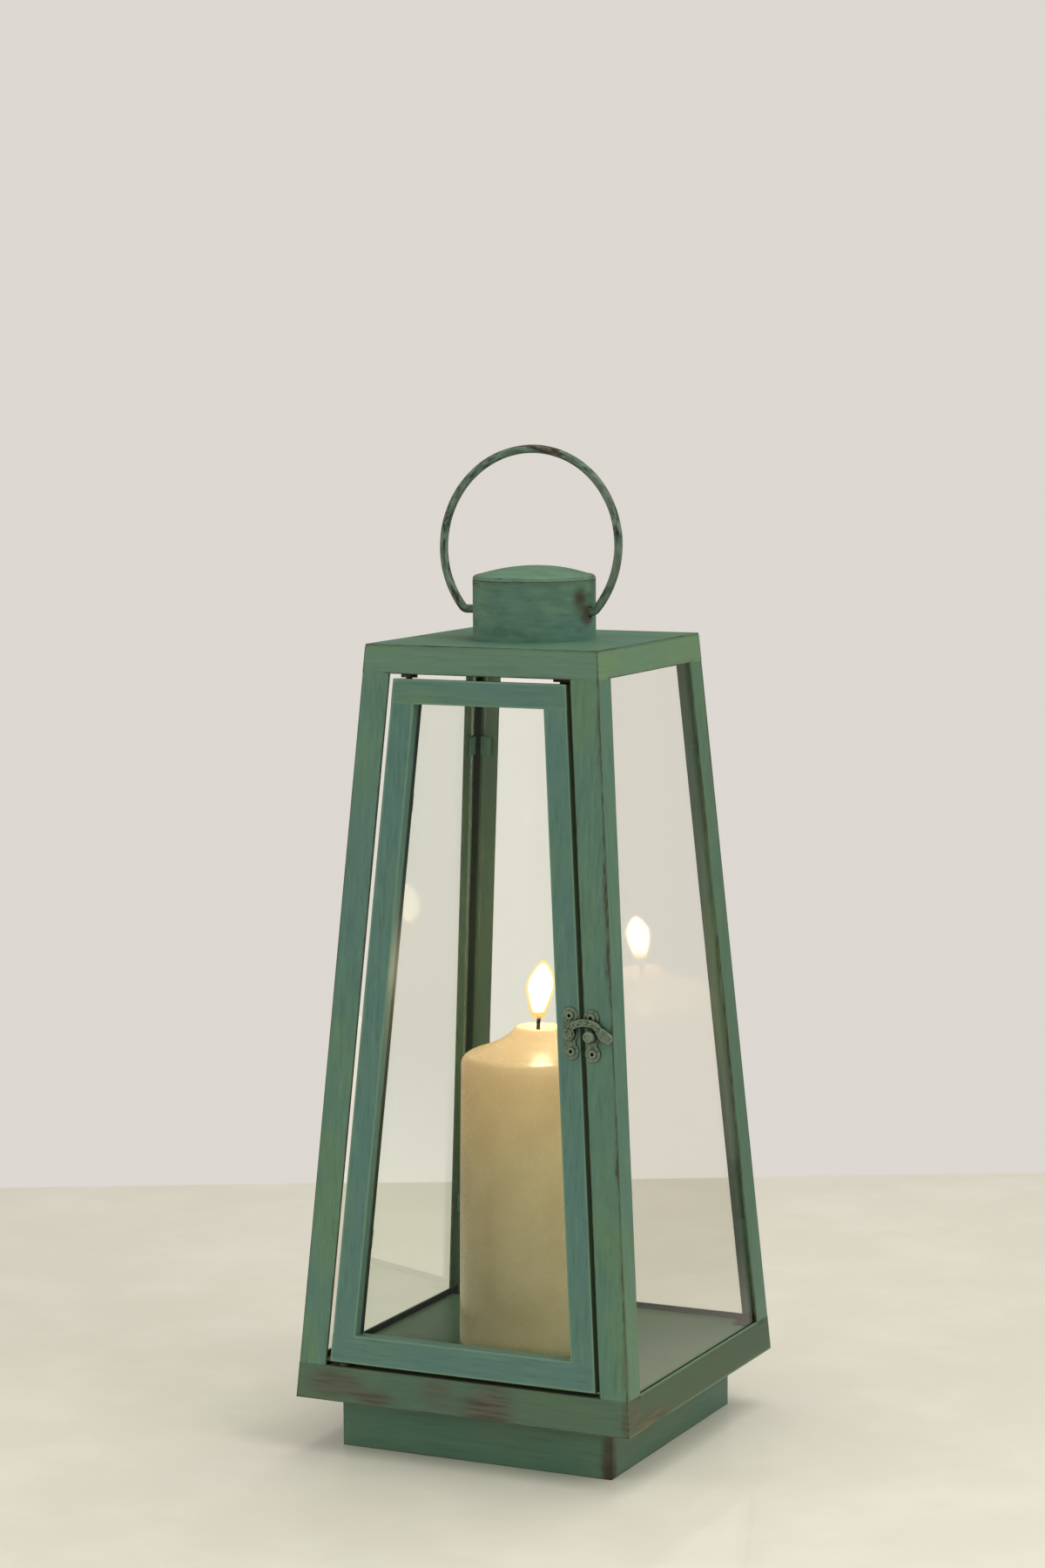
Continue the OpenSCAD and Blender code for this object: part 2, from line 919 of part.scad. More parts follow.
front_left_post();
front_right_post();
rear_left_post();
rear_right_post();
front_top_rail();
right_top_rail();
rear_top_rail();
left_top_rail();
front_bottom_rail();
right_bottom_rail();
rear_bottom_rail();
left_bottom_rail();
plinth();
floor_plate();
roof_plate();
chimney_tube();
chimney_cap();
ring_handle();
right_glass();
rear_glass();
left_glass();
right_glass_clips();
rear_glass_clips();
left_glass_clips();
hinge_pins();
hinge_washers();
door_stop();
keeper_plate();
keeper_rivets();
keeper_stud();
door_top_rail();
door_bottom_rail();
door_left_stile();
door_right_stile();
door_glass();
door_glass_clips();
latch_plate();
latch_rivets();
latch_pivot();
latch_hook();
candle();
wick();
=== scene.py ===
"""Dresses the glass candle lantern: painted sheet, cast latch, wire handle, glass, wax and flame."""

import json
import math

import bmesh
import bpy
from mathutils import Matrix, Vector, noise
from mathutils.bvhtree import BVHTree


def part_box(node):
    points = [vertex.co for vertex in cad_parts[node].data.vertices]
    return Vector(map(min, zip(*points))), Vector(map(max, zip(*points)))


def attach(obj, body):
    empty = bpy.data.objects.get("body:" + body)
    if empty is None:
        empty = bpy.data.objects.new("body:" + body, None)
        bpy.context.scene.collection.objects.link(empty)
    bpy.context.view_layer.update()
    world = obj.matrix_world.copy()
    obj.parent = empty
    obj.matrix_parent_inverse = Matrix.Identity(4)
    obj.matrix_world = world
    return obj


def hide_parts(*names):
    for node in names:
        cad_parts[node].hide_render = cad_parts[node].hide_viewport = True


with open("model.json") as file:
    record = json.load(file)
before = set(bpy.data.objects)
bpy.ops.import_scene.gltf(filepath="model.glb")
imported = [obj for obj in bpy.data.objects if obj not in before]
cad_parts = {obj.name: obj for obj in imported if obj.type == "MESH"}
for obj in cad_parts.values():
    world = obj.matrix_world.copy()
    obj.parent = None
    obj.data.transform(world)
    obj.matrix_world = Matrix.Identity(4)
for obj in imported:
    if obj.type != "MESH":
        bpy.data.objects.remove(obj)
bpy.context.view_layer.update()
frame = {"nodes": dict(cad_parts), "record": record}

MM = 0.001

# The camera, solved from the lantern's corners in the photograph
FOCAL_PX, PHOTO_H = 4352.8, 1800
CAMERA_PLACE = Vector((0.7592, -1.6022, 0.5140))
CAMERA_YAW, CAMERA_PITCH, CAMERA_ROLL = (math.radians(a) for a in (25.55, -6.59, -0.36))
SENSOR = 36.0

# Sizes that the part's source gives
FOOT_HALF, TOP_HALF, FRAME_H = 85.4 * MM, 58.7 * MM, 352.5 * MM
LATCH_SPAN, KEEPER_DROP, RIVET_PITCH = 10.57 * MM, 1.4 * MM, 16.2 * MM
HOOK_N = 1.6 * MM
OPENING_Z = 42.1 * MM
ROOF_Z, CHIMNEY_R, CHIMNEY_H = 378 * MM, 28.85 * MM, 27.8 * MM
CAP_EDGE, CAP_RISE = 2 * MM, 4.4 * MM
RING_R, WIRE_R, BEND_R, BEND_X = 45.2 * MM, 2 * MM, 3.5 * MM, 32.05 * MM
RING_GRIP, RING_SHIFT, RING_Z, RING_LEAN = 6 * MM, 2.9 * MM, 391 * MM, math.radians(4)

LEAN = math.atan((FOOT_HALF - TOP_HALF) / FRAME_H)
EDGE_TILT = math.atan((FOOT_HALF - TOP_HALF) * math.cos(LEAN) / FRAME_H)
FRONT_OUT = Vector((0, -math.cos(LEAN), math.sin(LEAN)))

JOINTS = {j["name"]: j for j in frame["record"]["behaviour"]["joints"]}
BODY_OF = {n: b for b, members in frame["record"]["behaviour"]["bodies"].items() for n in members}


# Camera and light


def make_camera():
    yaw, pitch, roll = CAMERA_YAW, CAMERA_PITCH, CAMERA_ROLL
    forward = Vector((-math.sin(yaw) * math.cos(pitch), math.cos(yaw) * math.cos(pitch), math.sin(pitch)))
    right = Vector((math.cos(yaw), math.sin(yaw), 0))
    up = right.cross(forward)
    turned_right = math.cos(roll) * right + math.sin(roll) * up
    turned_up = math.cos(roll) * up - math.sin(roll) * right
    data = bpy.data.cameras.new("camera")
    data.sensor_width = SENSOR
    data.lens = FOCAL_PX * SENSOR / PHOTO_H
    data.clip_start, data.clip_end = 0.05, 50
    camera = bpy.data.objects.new("camera", data)
    turn = Matrix((turned_right, turned_up, -forward)).transposed().to_4x4()
    camera.matrix_world = Matrix.Translation(CAMERA_PLACE) @ turn
    bpy.context.scene.collection.objects.link(camera)
    bpy.context.scene.camera = camera


def area_light(name, place, size, power, colour=(1, 1, 1)):
    data = bpy.data.lights.new(name, "AREA")
    data.shape = "DISK"
    data.size = size
    data.energy = power
    data.color = colour
    light = bpy.data.objects.new(name, data)
    light.location = place
    light.rotation_euler = (Vector((0, 0, 0.2)) - Vector(place)).to_track_quat("-Z", "Y").to_euler()
    light.visible_glossy = False
    light.visible_transmission = False
    bpy.context.scene.collection.objects.link(light)


# Material nodes


class Tree:
    """A new material and short ways to add nodes to it."""

    def __init__(self, name):
        self.material = bpy.data.materials.new(name)
        self.material.use_nodes = True
        self.nodes = self.material.node_tree.nodes
        self.links = self.material.node_tree.links
        self.nodes.clear()
        self.out = self.nodes.new("ShaderNodeOutputMaterial")
        self.place = self.nodes.new("ShaderNodeTexCoord").outputs["Object"]

    def put(self, socket, value):
        if isinstance(value, bpy.types.NodeSocket):
            self.links.new(value, socket)
        else:
            socket.default_value = value

    def node(self, kind, settings=None, **inputs):
        made = self.nodes.new("ShaderNode" + kind)
        for key, value in (settings or {}).items():
            setattr(made, key, value)
        for key, value in inputs.items():
            self.put(made.inputs[key.replace("_", " ")], value)
        return made

    def math(self, operation, *values, clamp=False):
        made = self.nodes.new("ShaderNodeMath")
        made.operation = operation
        made.use_clamp = clamp
        for socket, value in zip(made.inputs, values):
            self.put(socket, value)
        return made.outputs[0]

    def mix(self, share, a, b):
        made = self.nodes.new("ShaderNodeMix")
        made.data_type = "RGBA"
        self.put(made.inputs[0], share)
        self.put(made.inputs[6], colour_of(a))
        self.put(made.inputs[7], colour_of(b))
        return made.outputs[2]

    def step(self, value, low, high, to_low=0.0, to_high=1.0):
        """A smooth step of value from low to high."""
        made = self.node("MapRange", {"interpolation_type": "SMOOTHSTEP"}, Value=value)
        for socket, number in zip(list(made.inputs)[1:5], (low, high, to_low, to_high)):
            self.put(socket, number)
        return made.outputs[0]

    def times(self, *values):
        made = values[0]
        for value in values[1:]:
            made = self.math("MULTIPLY", made, value)
        return made

    def plus(self, *values):
        made = values[0]
        for value in values[1:]:
            made = self.math("ADD", made, value)
        return made

    def stretched(self, scale):
        made = self.node("Mapping", Vector=self.place)
        made.inputs["Scale"].default_value = scale
        return made.outputs[0]

    def noise(self, vector, scale, detail=3.0, roughness=0.5):
        found = self.node("TexNoise", Vector=vector, Scale=scale, Detail=detail, Roughness=roughness)
        return found.outputs["Fac"]

    def height(self):
        return self.node("SeparateXYZ", Vector=self.place).outputs["Z"]

    def far_from(self, point, stretch=(1, 1, 1)):
        """The distance from a point, with each axis counted as much as stretch says."""
        made = self.node("VectorMath", {"operation": "DISTANCE"}, Vector=self.stretched(stretch))
        made.inputs[1].default_value = tuple(p * s for p, s in zip(point, stretch))
        return made.outputs["Value"]

    def behind_front(self):
        """How deep a place lies behind the sloping front face."""
        made = self.node("VectorMath", {"operation": "DOT_PRODUCT"}, Vector=self.place)
        made.inputs[1].default_value = -FRONT_OUT
        return self.plus(made.outputs["Value"], FOOT_HALF * math.cos(LEAN))

    def attribute(self, name, output="Fac"):
        return self.node("Attribute", {"attribute_name": name}).outputs[output]

    def open_share(self, reach):
        return self.node("AmbientOcclusion", {"samples": 8}, Distance=reach).outputs["AO"]

    def bump(self, height, strength, distance):
        return self.node("Bump", Strength=strength, Distance=distance, Height=height).outputs["Normal"]

    def surface(self, shader):
        self.links.new(shader, self.out.inputs["Surface"])
        return self.material


def colour_of(value):
    return (*value, 1.0) if isinstance(value, tuple) and len(value) == 3 else value


TEAL, BLUE, GREEN = (0.098, 0.21, 0.146), (0.09, 0.2, 0.175), (0.12, 0.228, 0.122)
PALE, DEEP = (0.165, 0.285, 0.195), (0.045, 0.112, 0.07)
UMBER, DARK_UMBER, RUST = (0.098, 0.088, 0.05), (0.04, 0.033, 0.018), (0.075, 0.045, 0.022)
# Painted shade: the two dark colours put where shade falls, in recesses, corners, contacts and gaps
SHADE_BLACK, GAP_SHADE = (0.012, 0.018, 0.009), (0.06, 0.085, 0.05)
MAUVE, OLIVE, LIT_EDGE = (0.115, 0.098, 0.075), (0.12, 0.112, 0.048), (0.2, 0.345, 0.21)

# How the brush went: the share of each axis in the streaks' pattern
STREAKS = {"up": (1, 1, 0.07), "across": (0.07, 0.07, 1), "flat": (0.07, 1, 1)}


def paint(
    name,
    brush,
    rust=0.2,
    blue=0.2,
    spots=(),
    gloss=0.42,
    edge_highlight=0.0,
    seat=0.0,
    near=None,
    mottle=0.0,
    tint_and_light=(0.0, DEEP),
):
    """Thin brushed aqua paint, rubbed through to brown along the corners and in faint patches; painted shade
    and highlights stand in for light in gaps, corners and along edges.
    """
    t = Tree(name)
    along = t.stretched(STREAKS[brush])
    cloud = t.noise(t.place, 20, 2, 0.5)
    drift = t.noise(t.stretched(tuple(s**0.5 for s in STREAKS[brush])), 70, 4, 0.6)
    broad = t.noise(along, 520, 2, 0.5)
    fine = t.noise(along, 1500, 2, 0.55)
    grain = t.noise(t.place, 2200, 2, 0.5)
    colour = t.mix(t.times(t.step(cloud, 0.42, 0.62), 0.75), TEAL, GREEN)
    colour = t.mix(t.times(t.step(t.plus(drift, blue), 0.55, 0.95), 0.9), colour, BLUE)
    colour = t.mix(t.times(t.step(broad, 0.5, 0.76), 0.3), colour, PALE)
    colour = t.mix(t.times(t.step(broad, 0.48, 0.26), 0.3), colour, DEEP)
    colour = t.mix(t.times(t.step(fine, 0.54, 0.78), 0.35), colour, PALE)
    colour = t.mix(t.times(t.step(fine, 0.44, 0.24), 0.35), colour, DEEP)
    if mottle:
        patch = t.noise(t.stretched(tuple(s**0.3 for s in STREAKS[brush])), 150, 4, 0.65)
        colour = t.mix(t.times(t.step(patch, 0.5, 0.66), mottle), colour, DEEP)
        colour = t.mix(t.times(t.step(patch, 0.48, 0.32), mottle), colour, PALE)
    # Per-piece colour shift, which on some pieces is painted light and shade
    colour = t.mix(tint_and_light[0], colour, tint_and_light[1])
    patchy = t.plus(t.times(drift, 0.8), t.times(broad, 0.2))
    wash = t.times(t.step(patchy, 0.66 - 0.2 * rust, 0.82 - 0.2 * rust), 0.35 + 0.4 * rust)
    brown = t.mix(t.step(fine, 0.4, 0.6), UMBER, DARK_UMBER)
    colour = t.mix(wash, colour, t.mix(0.35, brown, UMBER))
    edge = t.attribute("wear")
    ragged = t.math("SUBTRACT", t.plus(t.times(drift, 0.9), t.times(fine, 0.35)), 0.62)
    rubbed = t.times(t.step(t.plus(edge, ragged), 0.72, 0.96), t.step(edge, 0.1, 0.35), 1 - edge_highlight)
    line = t.times(t.step(edge, 0.72, 0.92), 0.5 * (1 - edge_highlight))
    colour = t.mix(t.math("MAXIMUM", t.times(rubbed, 0.85), line), colour, brown)
    # Painted highlight: a lighter line along the edges, in place of the brown wear
    colour = t.mix(t.times(t.step(edge, 0.5, 0.9), 0.6 * edge_highlight), colour, LIT_EDGE)
    # Painted shade: a dark line on the stiles' inner returns, where the pane sits behind them in shade
    if seat:
        depth = t.behind_front()
        seat_shade = t.times(t.step(depth, 3.0 * MM, 3.8 * MM), t.step(depth, 7.2 * MM, 6.4 * MM), seat)
        colour = t.mix(seat_shade, colour, SHADE_BLACK)
    # Painted shade: the inner corners of the folded sheet are darkened where shade falls
    nook_shade = t.step(t.attribute("nook_shade"), 0.38, 0.62)
    colour = t.mix(t.times(nook_shade, 0.92), colour, SHADE_BLACK)
    # Painted shade: faces that look across a narrow gap at the door or frame are darkened
    colour = t.mix(t.times(t.attribute("gap"), 0.92), colour, GAP_SHADE)
    # The painted shade also takes the sheen off these faces
    painted_shade_mask = t.math("MAXIMUM", nook_shade, t.attribute("gap"))
    for place, reach, stretch, share, worn in spots:
        uneven = t.times(t.math("SUBTRACT", drift, 0.5), -1.2 * reach)
        stain = t.step(t.plus(t.far_from(place, stretch), uneven), reach, 0.3 * reach)
        speckled = t.mix(t.times(t.step(broad, 0.4, 0.62), share), worn, DARK_UMBER)
        colour = t.mix(t.times(stain, share), colour, speckled)
    # Painted shade: round the latch, the paint darkens where its parts close over the sheet
    if near:
        close = t.times(t.step(t.far_from(near), 17 * MM, 12 * MM), t.step(t.open_share(2.5 * MM), 0.9, 0.5))
        colour = t.mix(t.times(close, 0.85), colour, SHADE_BLACK)
    wear = t.math("MAXIMUM", t.times(wash, 0.5), rubbed)
    relief = t.plus(t.times(broad, 0.5), t.times(fine, 0.4), t.times(grain, 0.15), t.times(wear, -0.4))
    shader = t.node("BsdfPrincipled", Base_Color=colour, Normal=t.bump(relief, 0.35, 0.2 * MM))
    t.put(shader.inputs["Roughness"], t.plus(gloss, t.times(wear, 0.18), t.times(painted_shade_mask, 0.35)))
    t.put(shader.inputs["Specular IOR Level"], t.step(painted_shade_mask, 0.0, 1.0, 0.45, 0.05))
    return t.surface(shader.outputs[0])


def patina(name, dark, light):
    """Cast metal under thin paint: dark patina in its hollows and rubbed pale on its high places, with
    painted shade where other parts close over it.
    """
    t = Tree(name)
    blotch = t.noise(t.place, 520, 3, 0.6)
    grain = t.noise(t.place, 2300, 3, 0.6)
    point = t.node("NewGeometry").outputs["Pointiness"]
    raised = t.step(t.plus(point, t.times(t.math("SUBTRACT", blotch, 0.5), 0.1)), 0.465, 0.525)
    colour = t.mix(raised, dark, light)
    colour = t.mix(t.times(t.step(blotch, 0.54, 0.68), 0.35), colour, (0.12, 0.115, 0.055))
    colour = t.mix(t.times(t.step(grain, 0.58, 0.74), 0.3), colour, (0.3, 0.38, 0.27))
    # Painted shade: the casting darkens where other parts close over it
    colour = t.mix(t.times(t.step(t.open_share(3 * MM), 0.86, 0.46), 0.92), colour, SHADE_BLACK)
    # Painted shade: the rivets' holes are painted near black
    colour = t.mix(t.attribute("deep"), colour, (0.004, 0.004, 0.004))
    shader = t.node("BsdfPrincipled", Base_Color=colour, Normal=t.bump(grain, 0.5, 0.12 * MM))
    shader.inputs["Metallic"].default_value = 0.2
    shader.inputs["Roughness"].default_value = 0.48
    return t.surface(shader.outputs[0])


def wire_paint():
    """Thin paint on the handle's wire, with long dark and brown bare patches."""
    t = Tree("wire_paint")
    along = t.attribute("along", "Vector")
    blotch = t.noise(along, 150, 3, 0.6)
    small = t.noise(along, 520, 3, 0.6)
    grain = t.noise(t.place, 2100, 2, 0.5)
    colour = t.mix(t.step(small, 0.38, 0.66), (0.07, 0.118, 0.085), (0.16, 0.245, 0.18))
    colour = t.mix(t.times(t.step(blotch, 0.54, 0.66), 0.5), colour, (0.15, 0.175, 0.12))
    mixed = t.plus(t.times(blotch, 0.65), t.times(small, 0.35))
    bare = t.step(mixed, 0.49, 0.43)
    brown = t.mix(t.step(small, 0.4, 0.58), (0.018, 0.02, 0.016), (0.1, 0.07, 0.042))
    colour = t.mix(t.times(bare, 0.88), colour, brown)
    relief = t.math("SUBTRACT", t.times(grain, 0.4), t.times(bare, 0.5))
    shader = t.node("BsdfPrincipled", Base_Color=colour, Normal=t.bump(relief, 0.5, 0.15 * MM))
    shader.inputs["Roughness"].default_value = 0.45
    return t.surface(shader.outputs[0])


def glass(name, tint, shade_line_top=0.0):
    """Clear window glass with faint smudges and a painted shade line along its foot, where it stands in the
    rail's slot.
    """
    t = Tree(name)
    smudge = t.noise(t.place, 38, 4, 0.6)
    clear = t.node("BsdfGlass", Roughness=t.step(smudge, 0.6, 0.85, 0.0, 0.025))
    clear.inputs["Color"].default_value = colour_of(tint)
    clear.inputs["IOR"].default_value = 1.5
    through = t.node("BsdfTransparent")
    through.inputs["Color"].default_value = (0.94, 0.965, 0.93, 1)
    rays = t.node("LightPath")
    soft = t.math("MAXIMUM", rays.outputs["Is Shadow Ray"], rays.outputs["Is Diffuse Ray"])
    both = t.node("MixShader", Fac=soft)
    t.links.new(clear.outputs[0], both.inputs[1])
    t.links.new(through.outputs[0], both.inputs[2])
    # Painted shade: a dark line at the pane's foot
    slot_shade = t.node("BsdfDiffuse")
    slot_shade.inputs["Color"].default_value = colour_of(SHADE_BLACK)
    with_slot_shade = t.node("MixShader", Fac=t.step(t.height(), shade_line_top, shade_line_top - 0.6 * MM, 0.0, 0.9))
    t.links.new(both.outputs[0], with_slot_shade.inputs[1])
    t.links.new(slot_shade.outputs[0], with_slot_shade.inputs[2])
    return t.surface(with_slot_shade.outputs[0])


def wax(shoulder, top):
    """Ivory wax, satin, with a painted glow from the flame: a warmer colour and a faint light of its own
    towards the top.
    """
    t = Tree("wax")
    cloud = t.noise(t.place, 42, 3, 0.55)
    grain = t.noise(t.place, 700, 3, 0.5)
    # Painted light: the wax glows and warms towards the flame
    painted_flame_glow = t.step(t.height(), shoulder - 130 * MM, top + 30 * MM)
    painted_top_glow = t.step(t.height(), shoulder - 16 * MM, top)
    colour = t.mix(t.step(cloud, 0.35, 0.7), (0.625, 0.508, 0.29), (0.69, 0.572, 0.335))
    colour = t.mix(t.times(painted_top_glow, 0.7), colour, (0.84, 0.6, 0.36))
    shader = t.node("BsdfPrincipled", Base_Color=colour)
    t.put(shader.inputs["Roughness"], t.step(grain, 0.3, 0.7, 0.22, 0.28))
    t.put(shader.inputs["Normal"], t.bump(t.plus(t.times(cloud, 4.0), t.times(grain, 0.3)), 0.25, 0.12 * MM))
    shader.inputs["Specular IOR Level"].default_value = 0.75
    shader.inputs["Subsurface Weight"].default_value = 0.35
    shader.inputs["Subsurface Radius"].default_value = (1.0, 0.6, 0.3)
    shader.inputs["Subsurface Scale"].default_value = 6 * MM
    t.put(shader.inputs["Emission Color"], t.mix(painted_top_glow, (1.0, 0.45, 0.1), (1.0, 0.62, 0.32)))
    glow = t.plus(t.times(painted_flame_glow, painted_flame_glow, 0.3), t.times(painted_top_glow, 0.06))
    t.put(shader.inputs["Emission Strength"], glow)
    return t.surface(shader.outputs[0])


def charred(foot, top):
    """The wick: charred cotton, browner at its foot."""
    t = Tree("charred")
    grain = t.noise(t.place, 1500, 3, 0.6)
    colour = t.mix(t.step(t.height(), foot, top), (0.075, 0.028, 0.014), (0.008, 0.006, 0.005))
    colour = t.mix(t.times(t.step(grain, 0.5, 0.75), 0.4), colour, (0.045, 0.032, 0.022))
    shader = t.node("BsdfPrincipled", Base_Color=colour, Normal=t.bump(grain, 0.7, 0.2 * MM))
    shader.inputs["Roughness"].default_value = 0.85
    return t.surface(shader.outputs[0])


def flame_glow(name, foot, tip, colours, levels, shares):
    """A flame's shell: its colours, its brightness and its share of cover from foot to tip."""
    t = Tree(name)
    rise = t.math("DIVIDE", t.math("SUBTRACT", t.height(), foot), tip - foot)
    colour = t.mix(t.step(rise, 0.1, 0.45), colours[0], colours[1])
    colour = t.mix(t.step(rise, 0.6, 1.0), colour, colours[2])
    glow = t.node("Emission", Color=colour, Strength=t.step(rise, 0.05, 0.5, *levels))
    clear = t.node("BsdfTransparent")
    both = t.node("MixShader", Fac=t.step(rise, 0.0, 0.45, *shares))
    t.links.new(clear.outputs[0], both.inputs[1])
    t.links.new(glow.outputs[0], both.inputs[2])
    return t.surface(both.outputs[0])


# Meshes


def mesh_of(name, bm):
    bmesh.ops.recalc_face_normals(bm, faces=bm.faces)
    mesh = bpy.data.meshes.new(name)
    bm.to_mesh(mesh)
    bm.free()
    return mesh


def piece(name, mesh, body, material, sharp=35):
    made = bpy.data.objects.new(name, mesh)
    bpy.context.scene.collection.objects.link(made)
    mesh.materials.clear()
    mesh.materials.append(material)
    for polygon in mesh.polygons:
        polygon.use_smooth = True
    mesh.set_sharp_from_angle(angle=math.radians(sharp))
    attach(made, body)
    return made


def smooth_line(points, steps):
    """More points on a smooth line through the given ones."""
    line = []
    last = len(points) - 1
    for i in range(last):
        a, b = points[max(i - 1, 0)], points[i]
        c, d = points[i + 1], points[min(i + 2, last)]
        for s in range(steps):
            t = s / steps
            line.append(
                tuple(
                    q + 0.5 * t * (r - p + t * (2 * p - 5 * q + 4 * r - w + t * (3 * q - p - 3 * r + w)))
                    for p, q, r, w in zip(a, b, c, d)
                )
            )
    return line + [points[-1]]


def lathe(bm, profile, sides, place, closed=False):
    """Adds what a profile of (radius, height) makes round an axis; a radius of 0 closes an end."""
    rows = []
    for r, z in profile:
        turns = 1 if r < 0.001 * MM else sides
        angles = [2 * math.pi * k / sides for k in range(turns)]
        rows.append([bm.verts.new(place @ Vector((r * math.cos(a), r * math.sin(a), z))) for a in angles])
    pairs = list(zip(rows, rows[1:] + rows[:1])) if closed else list(zip(rows, rows[1:]))
    for low, high in pairs:
        for k in range(sides):
            j = (k + 1) % sides
            corners = (low[k % len(low)], low[j % len(low)], high[j % len(high)], high[k % len(high)])
            bm.faces.new(list(dict.fromkeys(corners)))
    return [vert for row in rows for vert in row]


def tube(bm, path, radii, sides, across):
    """Adds a round bar along a flat path, where across is the direction out of its plane."""
    layer = bm.verts.layers.float_vector.new("along")
    rows = []
    run = 0.0
    for i, (point, radius) in enumerate(zip(path, radii)):
        run += (point - path[max(i - 1, 0)]).length
        way = (path[min(i + 1, len(path) - 1)] - path[max(i - 1, 0)]).normalized()
        side = across.cross(way)
        row = []
        for k in range(sides):
            a = 2 * math.pi * k / sides
            vert = bm.verts.new(point + radius * (math.cos(a) * across + math.sin(a) * side))
            vert[layer] = (0.3 * run, radius * math.cos(a), radius * math.sin(a))
            row.append(vert)
        rows.append(row)
    for low, high in zip(rows, rows[1:]):
        for k in range(sides):
            j = (k + 1) % sides
            bm.faces.new((low[k], low[j], high[j], high[k]))
    bm.faces.new(rows[0][::-1])
    bm.faces.new(rows[-1])


def cast(nodes, voxel, rounds, lumps):
    """Nodes as one mesh with the soft edges and small lumps of a rough casting."""
    bm = bmesh.new()
    for node in nodes:
        bm.from_mesh(frame["nodes"][node].data)
    rough = bpy.data.objects.new("rough", mesh_of("rough", bm))
    bpy.context.scene.collection.objects.link(rough)
    remesh = rough.modifiers.new("remesh", "REMESH")
    remesh.mode = "VOXEL"
    remesh.voxel_size = voxel
    soften = rough.modifiers.new("soften", "SMOOTH")
    soften.factor = 0.5
    soften.iterations = rounds
    seen = rough.evaluated_get(bpy.context.evaluated_depsgraph_get())
    mesh = bpy.data.meshes.new_from_object(seen)
    bpy.data.objects.remove(rough)
    normals = [vert.normal.copy() for vert in mesh.vertices]
    for vert, normal in zip(mesh.vertices, normals):
        vert.co += normal * lumps * noise.noise(vert.co * 900)
    return mesh


def welded(node):
    """A node's own shape as one bmesh with whole flat faces."""
    bm = bmesh.new()
    bm.from_mesh(frame["nodes"][node].data)
    bmesh.ops.remove_doubles(bm, verts=bm.verts, dist=0.002 * MM)
    bmesh.ops.dissolve_limit(bm, angle_limit=math.radians(0.5), verts=bm.verts, edges=bm.edges)
    bmesh.ops.recalc_face_normals(bm, faces=bm.faces)
    return bm


def solid_tree(node):
    bm = bmesh.new()
    bm.from_mesh(frame["nodes"][node].data)
    bmesh.ops.remove_doubles(bm, verts=bm.verts, dist=0.002 * MM)
    tree = BVHTree.FromBMesh(bm)
    bm.free()
    return tree


def inside(tree, point, reach):
    found, normal, _, distance = tree.find_nearest(point, reach)
    return found is not None and (point - found).dot(normal) < 0


FLAT_TURN, SHARP_TURN = math.radians(25), math.radians(120)
GAP_REACH, NOOK_WIDTH = 3.5 * MM, 7 * MM


def mark_gaps(bm, others):
    """Marks the faces that look across a narrow gap at a piece that moves on its own, for the paint to
    darken as painted shade.
    """
    layer = bm.faces.layers.float.new("gap")
    for face in bm.faces:
        if abs(face.normal.dot(FRONT_OUT)) > 0.5:
            continue
        middle = face.calc_center_median()
        starts = [middle] + [middle.lerp(vert.co, 0.9) for vert in face.verts]
        for tree in others:
            if any(tree.ray_cast(p + face.normal * 0.02 * MM, face.normal, GAP_REACH)[0] for p in starts):
                face[layer] = 1.0


def nook_lines(bm):
    """The folds that run along an inner corner: (start, end, its two faces' normals)."""
    found = []
    for edge in bm.edges:
        if len(edge.link_faces) != 2 or edge.is_convex or edge.calc_length() < 20 * MM:
            continue
        a, b = (face.normal.copy() for face in edge.link_faces)
        if a.angle(b, 0) > FLAT_TURN:
            found.append((edge.verts[0].co.copy(), edge.verts[1].co.copy(), a, b))
    return found


def free_edges(bm, neighbours):
    """The folds and rims of a sheet that no neighbour covers: (edge, its two faces' normals)."""
    probe = 0.25 * MM
    found = []
    for edge in bm.edges:
        if len(edge.link_faces) != 2 or edge.calc_length() < 1 * MM:
            continue
        a, b = (face.normal.copy() for face in edge.link_faces)
        turn = a.angle(b, 0)
        if turn < FLAT_TURN or not edge.is_convex:
            continue
        middle = (edge.verts[0].co + edge.verts[1].co) / 2
        butted = turn < SHARP_TURN and any(
            inside(tree, middle + out * probe - back * probe, 2 * probe)
            for tree in neighbours
            for out, back in ((a, b), (b, a))
        )
        if not butted:
            found.append((edge, a, b))
    return found


def cut_beside(bm, start, end, normal, width):
    """Cuts a line into a face, parallel to one of its edges and a width from it."""
    inward = normal.cross((end - start).normalized()).normalized()
    middle = (start + end) / 2
    on_face = (inside_face(f, middle + inward * width) for f in bm.faces if f.normal.dot(normal) > 0.99)
    if not any(on_face):
        inward = -inward
    bmesh.ops.bisect_plane(
        bm,
        geom=list(bm.verts) + list(bm.edges) + list(bm.faces),
        dist=0.01 * MM,
        plane_co=start + inward * width,
        plane_no=inward,
    )


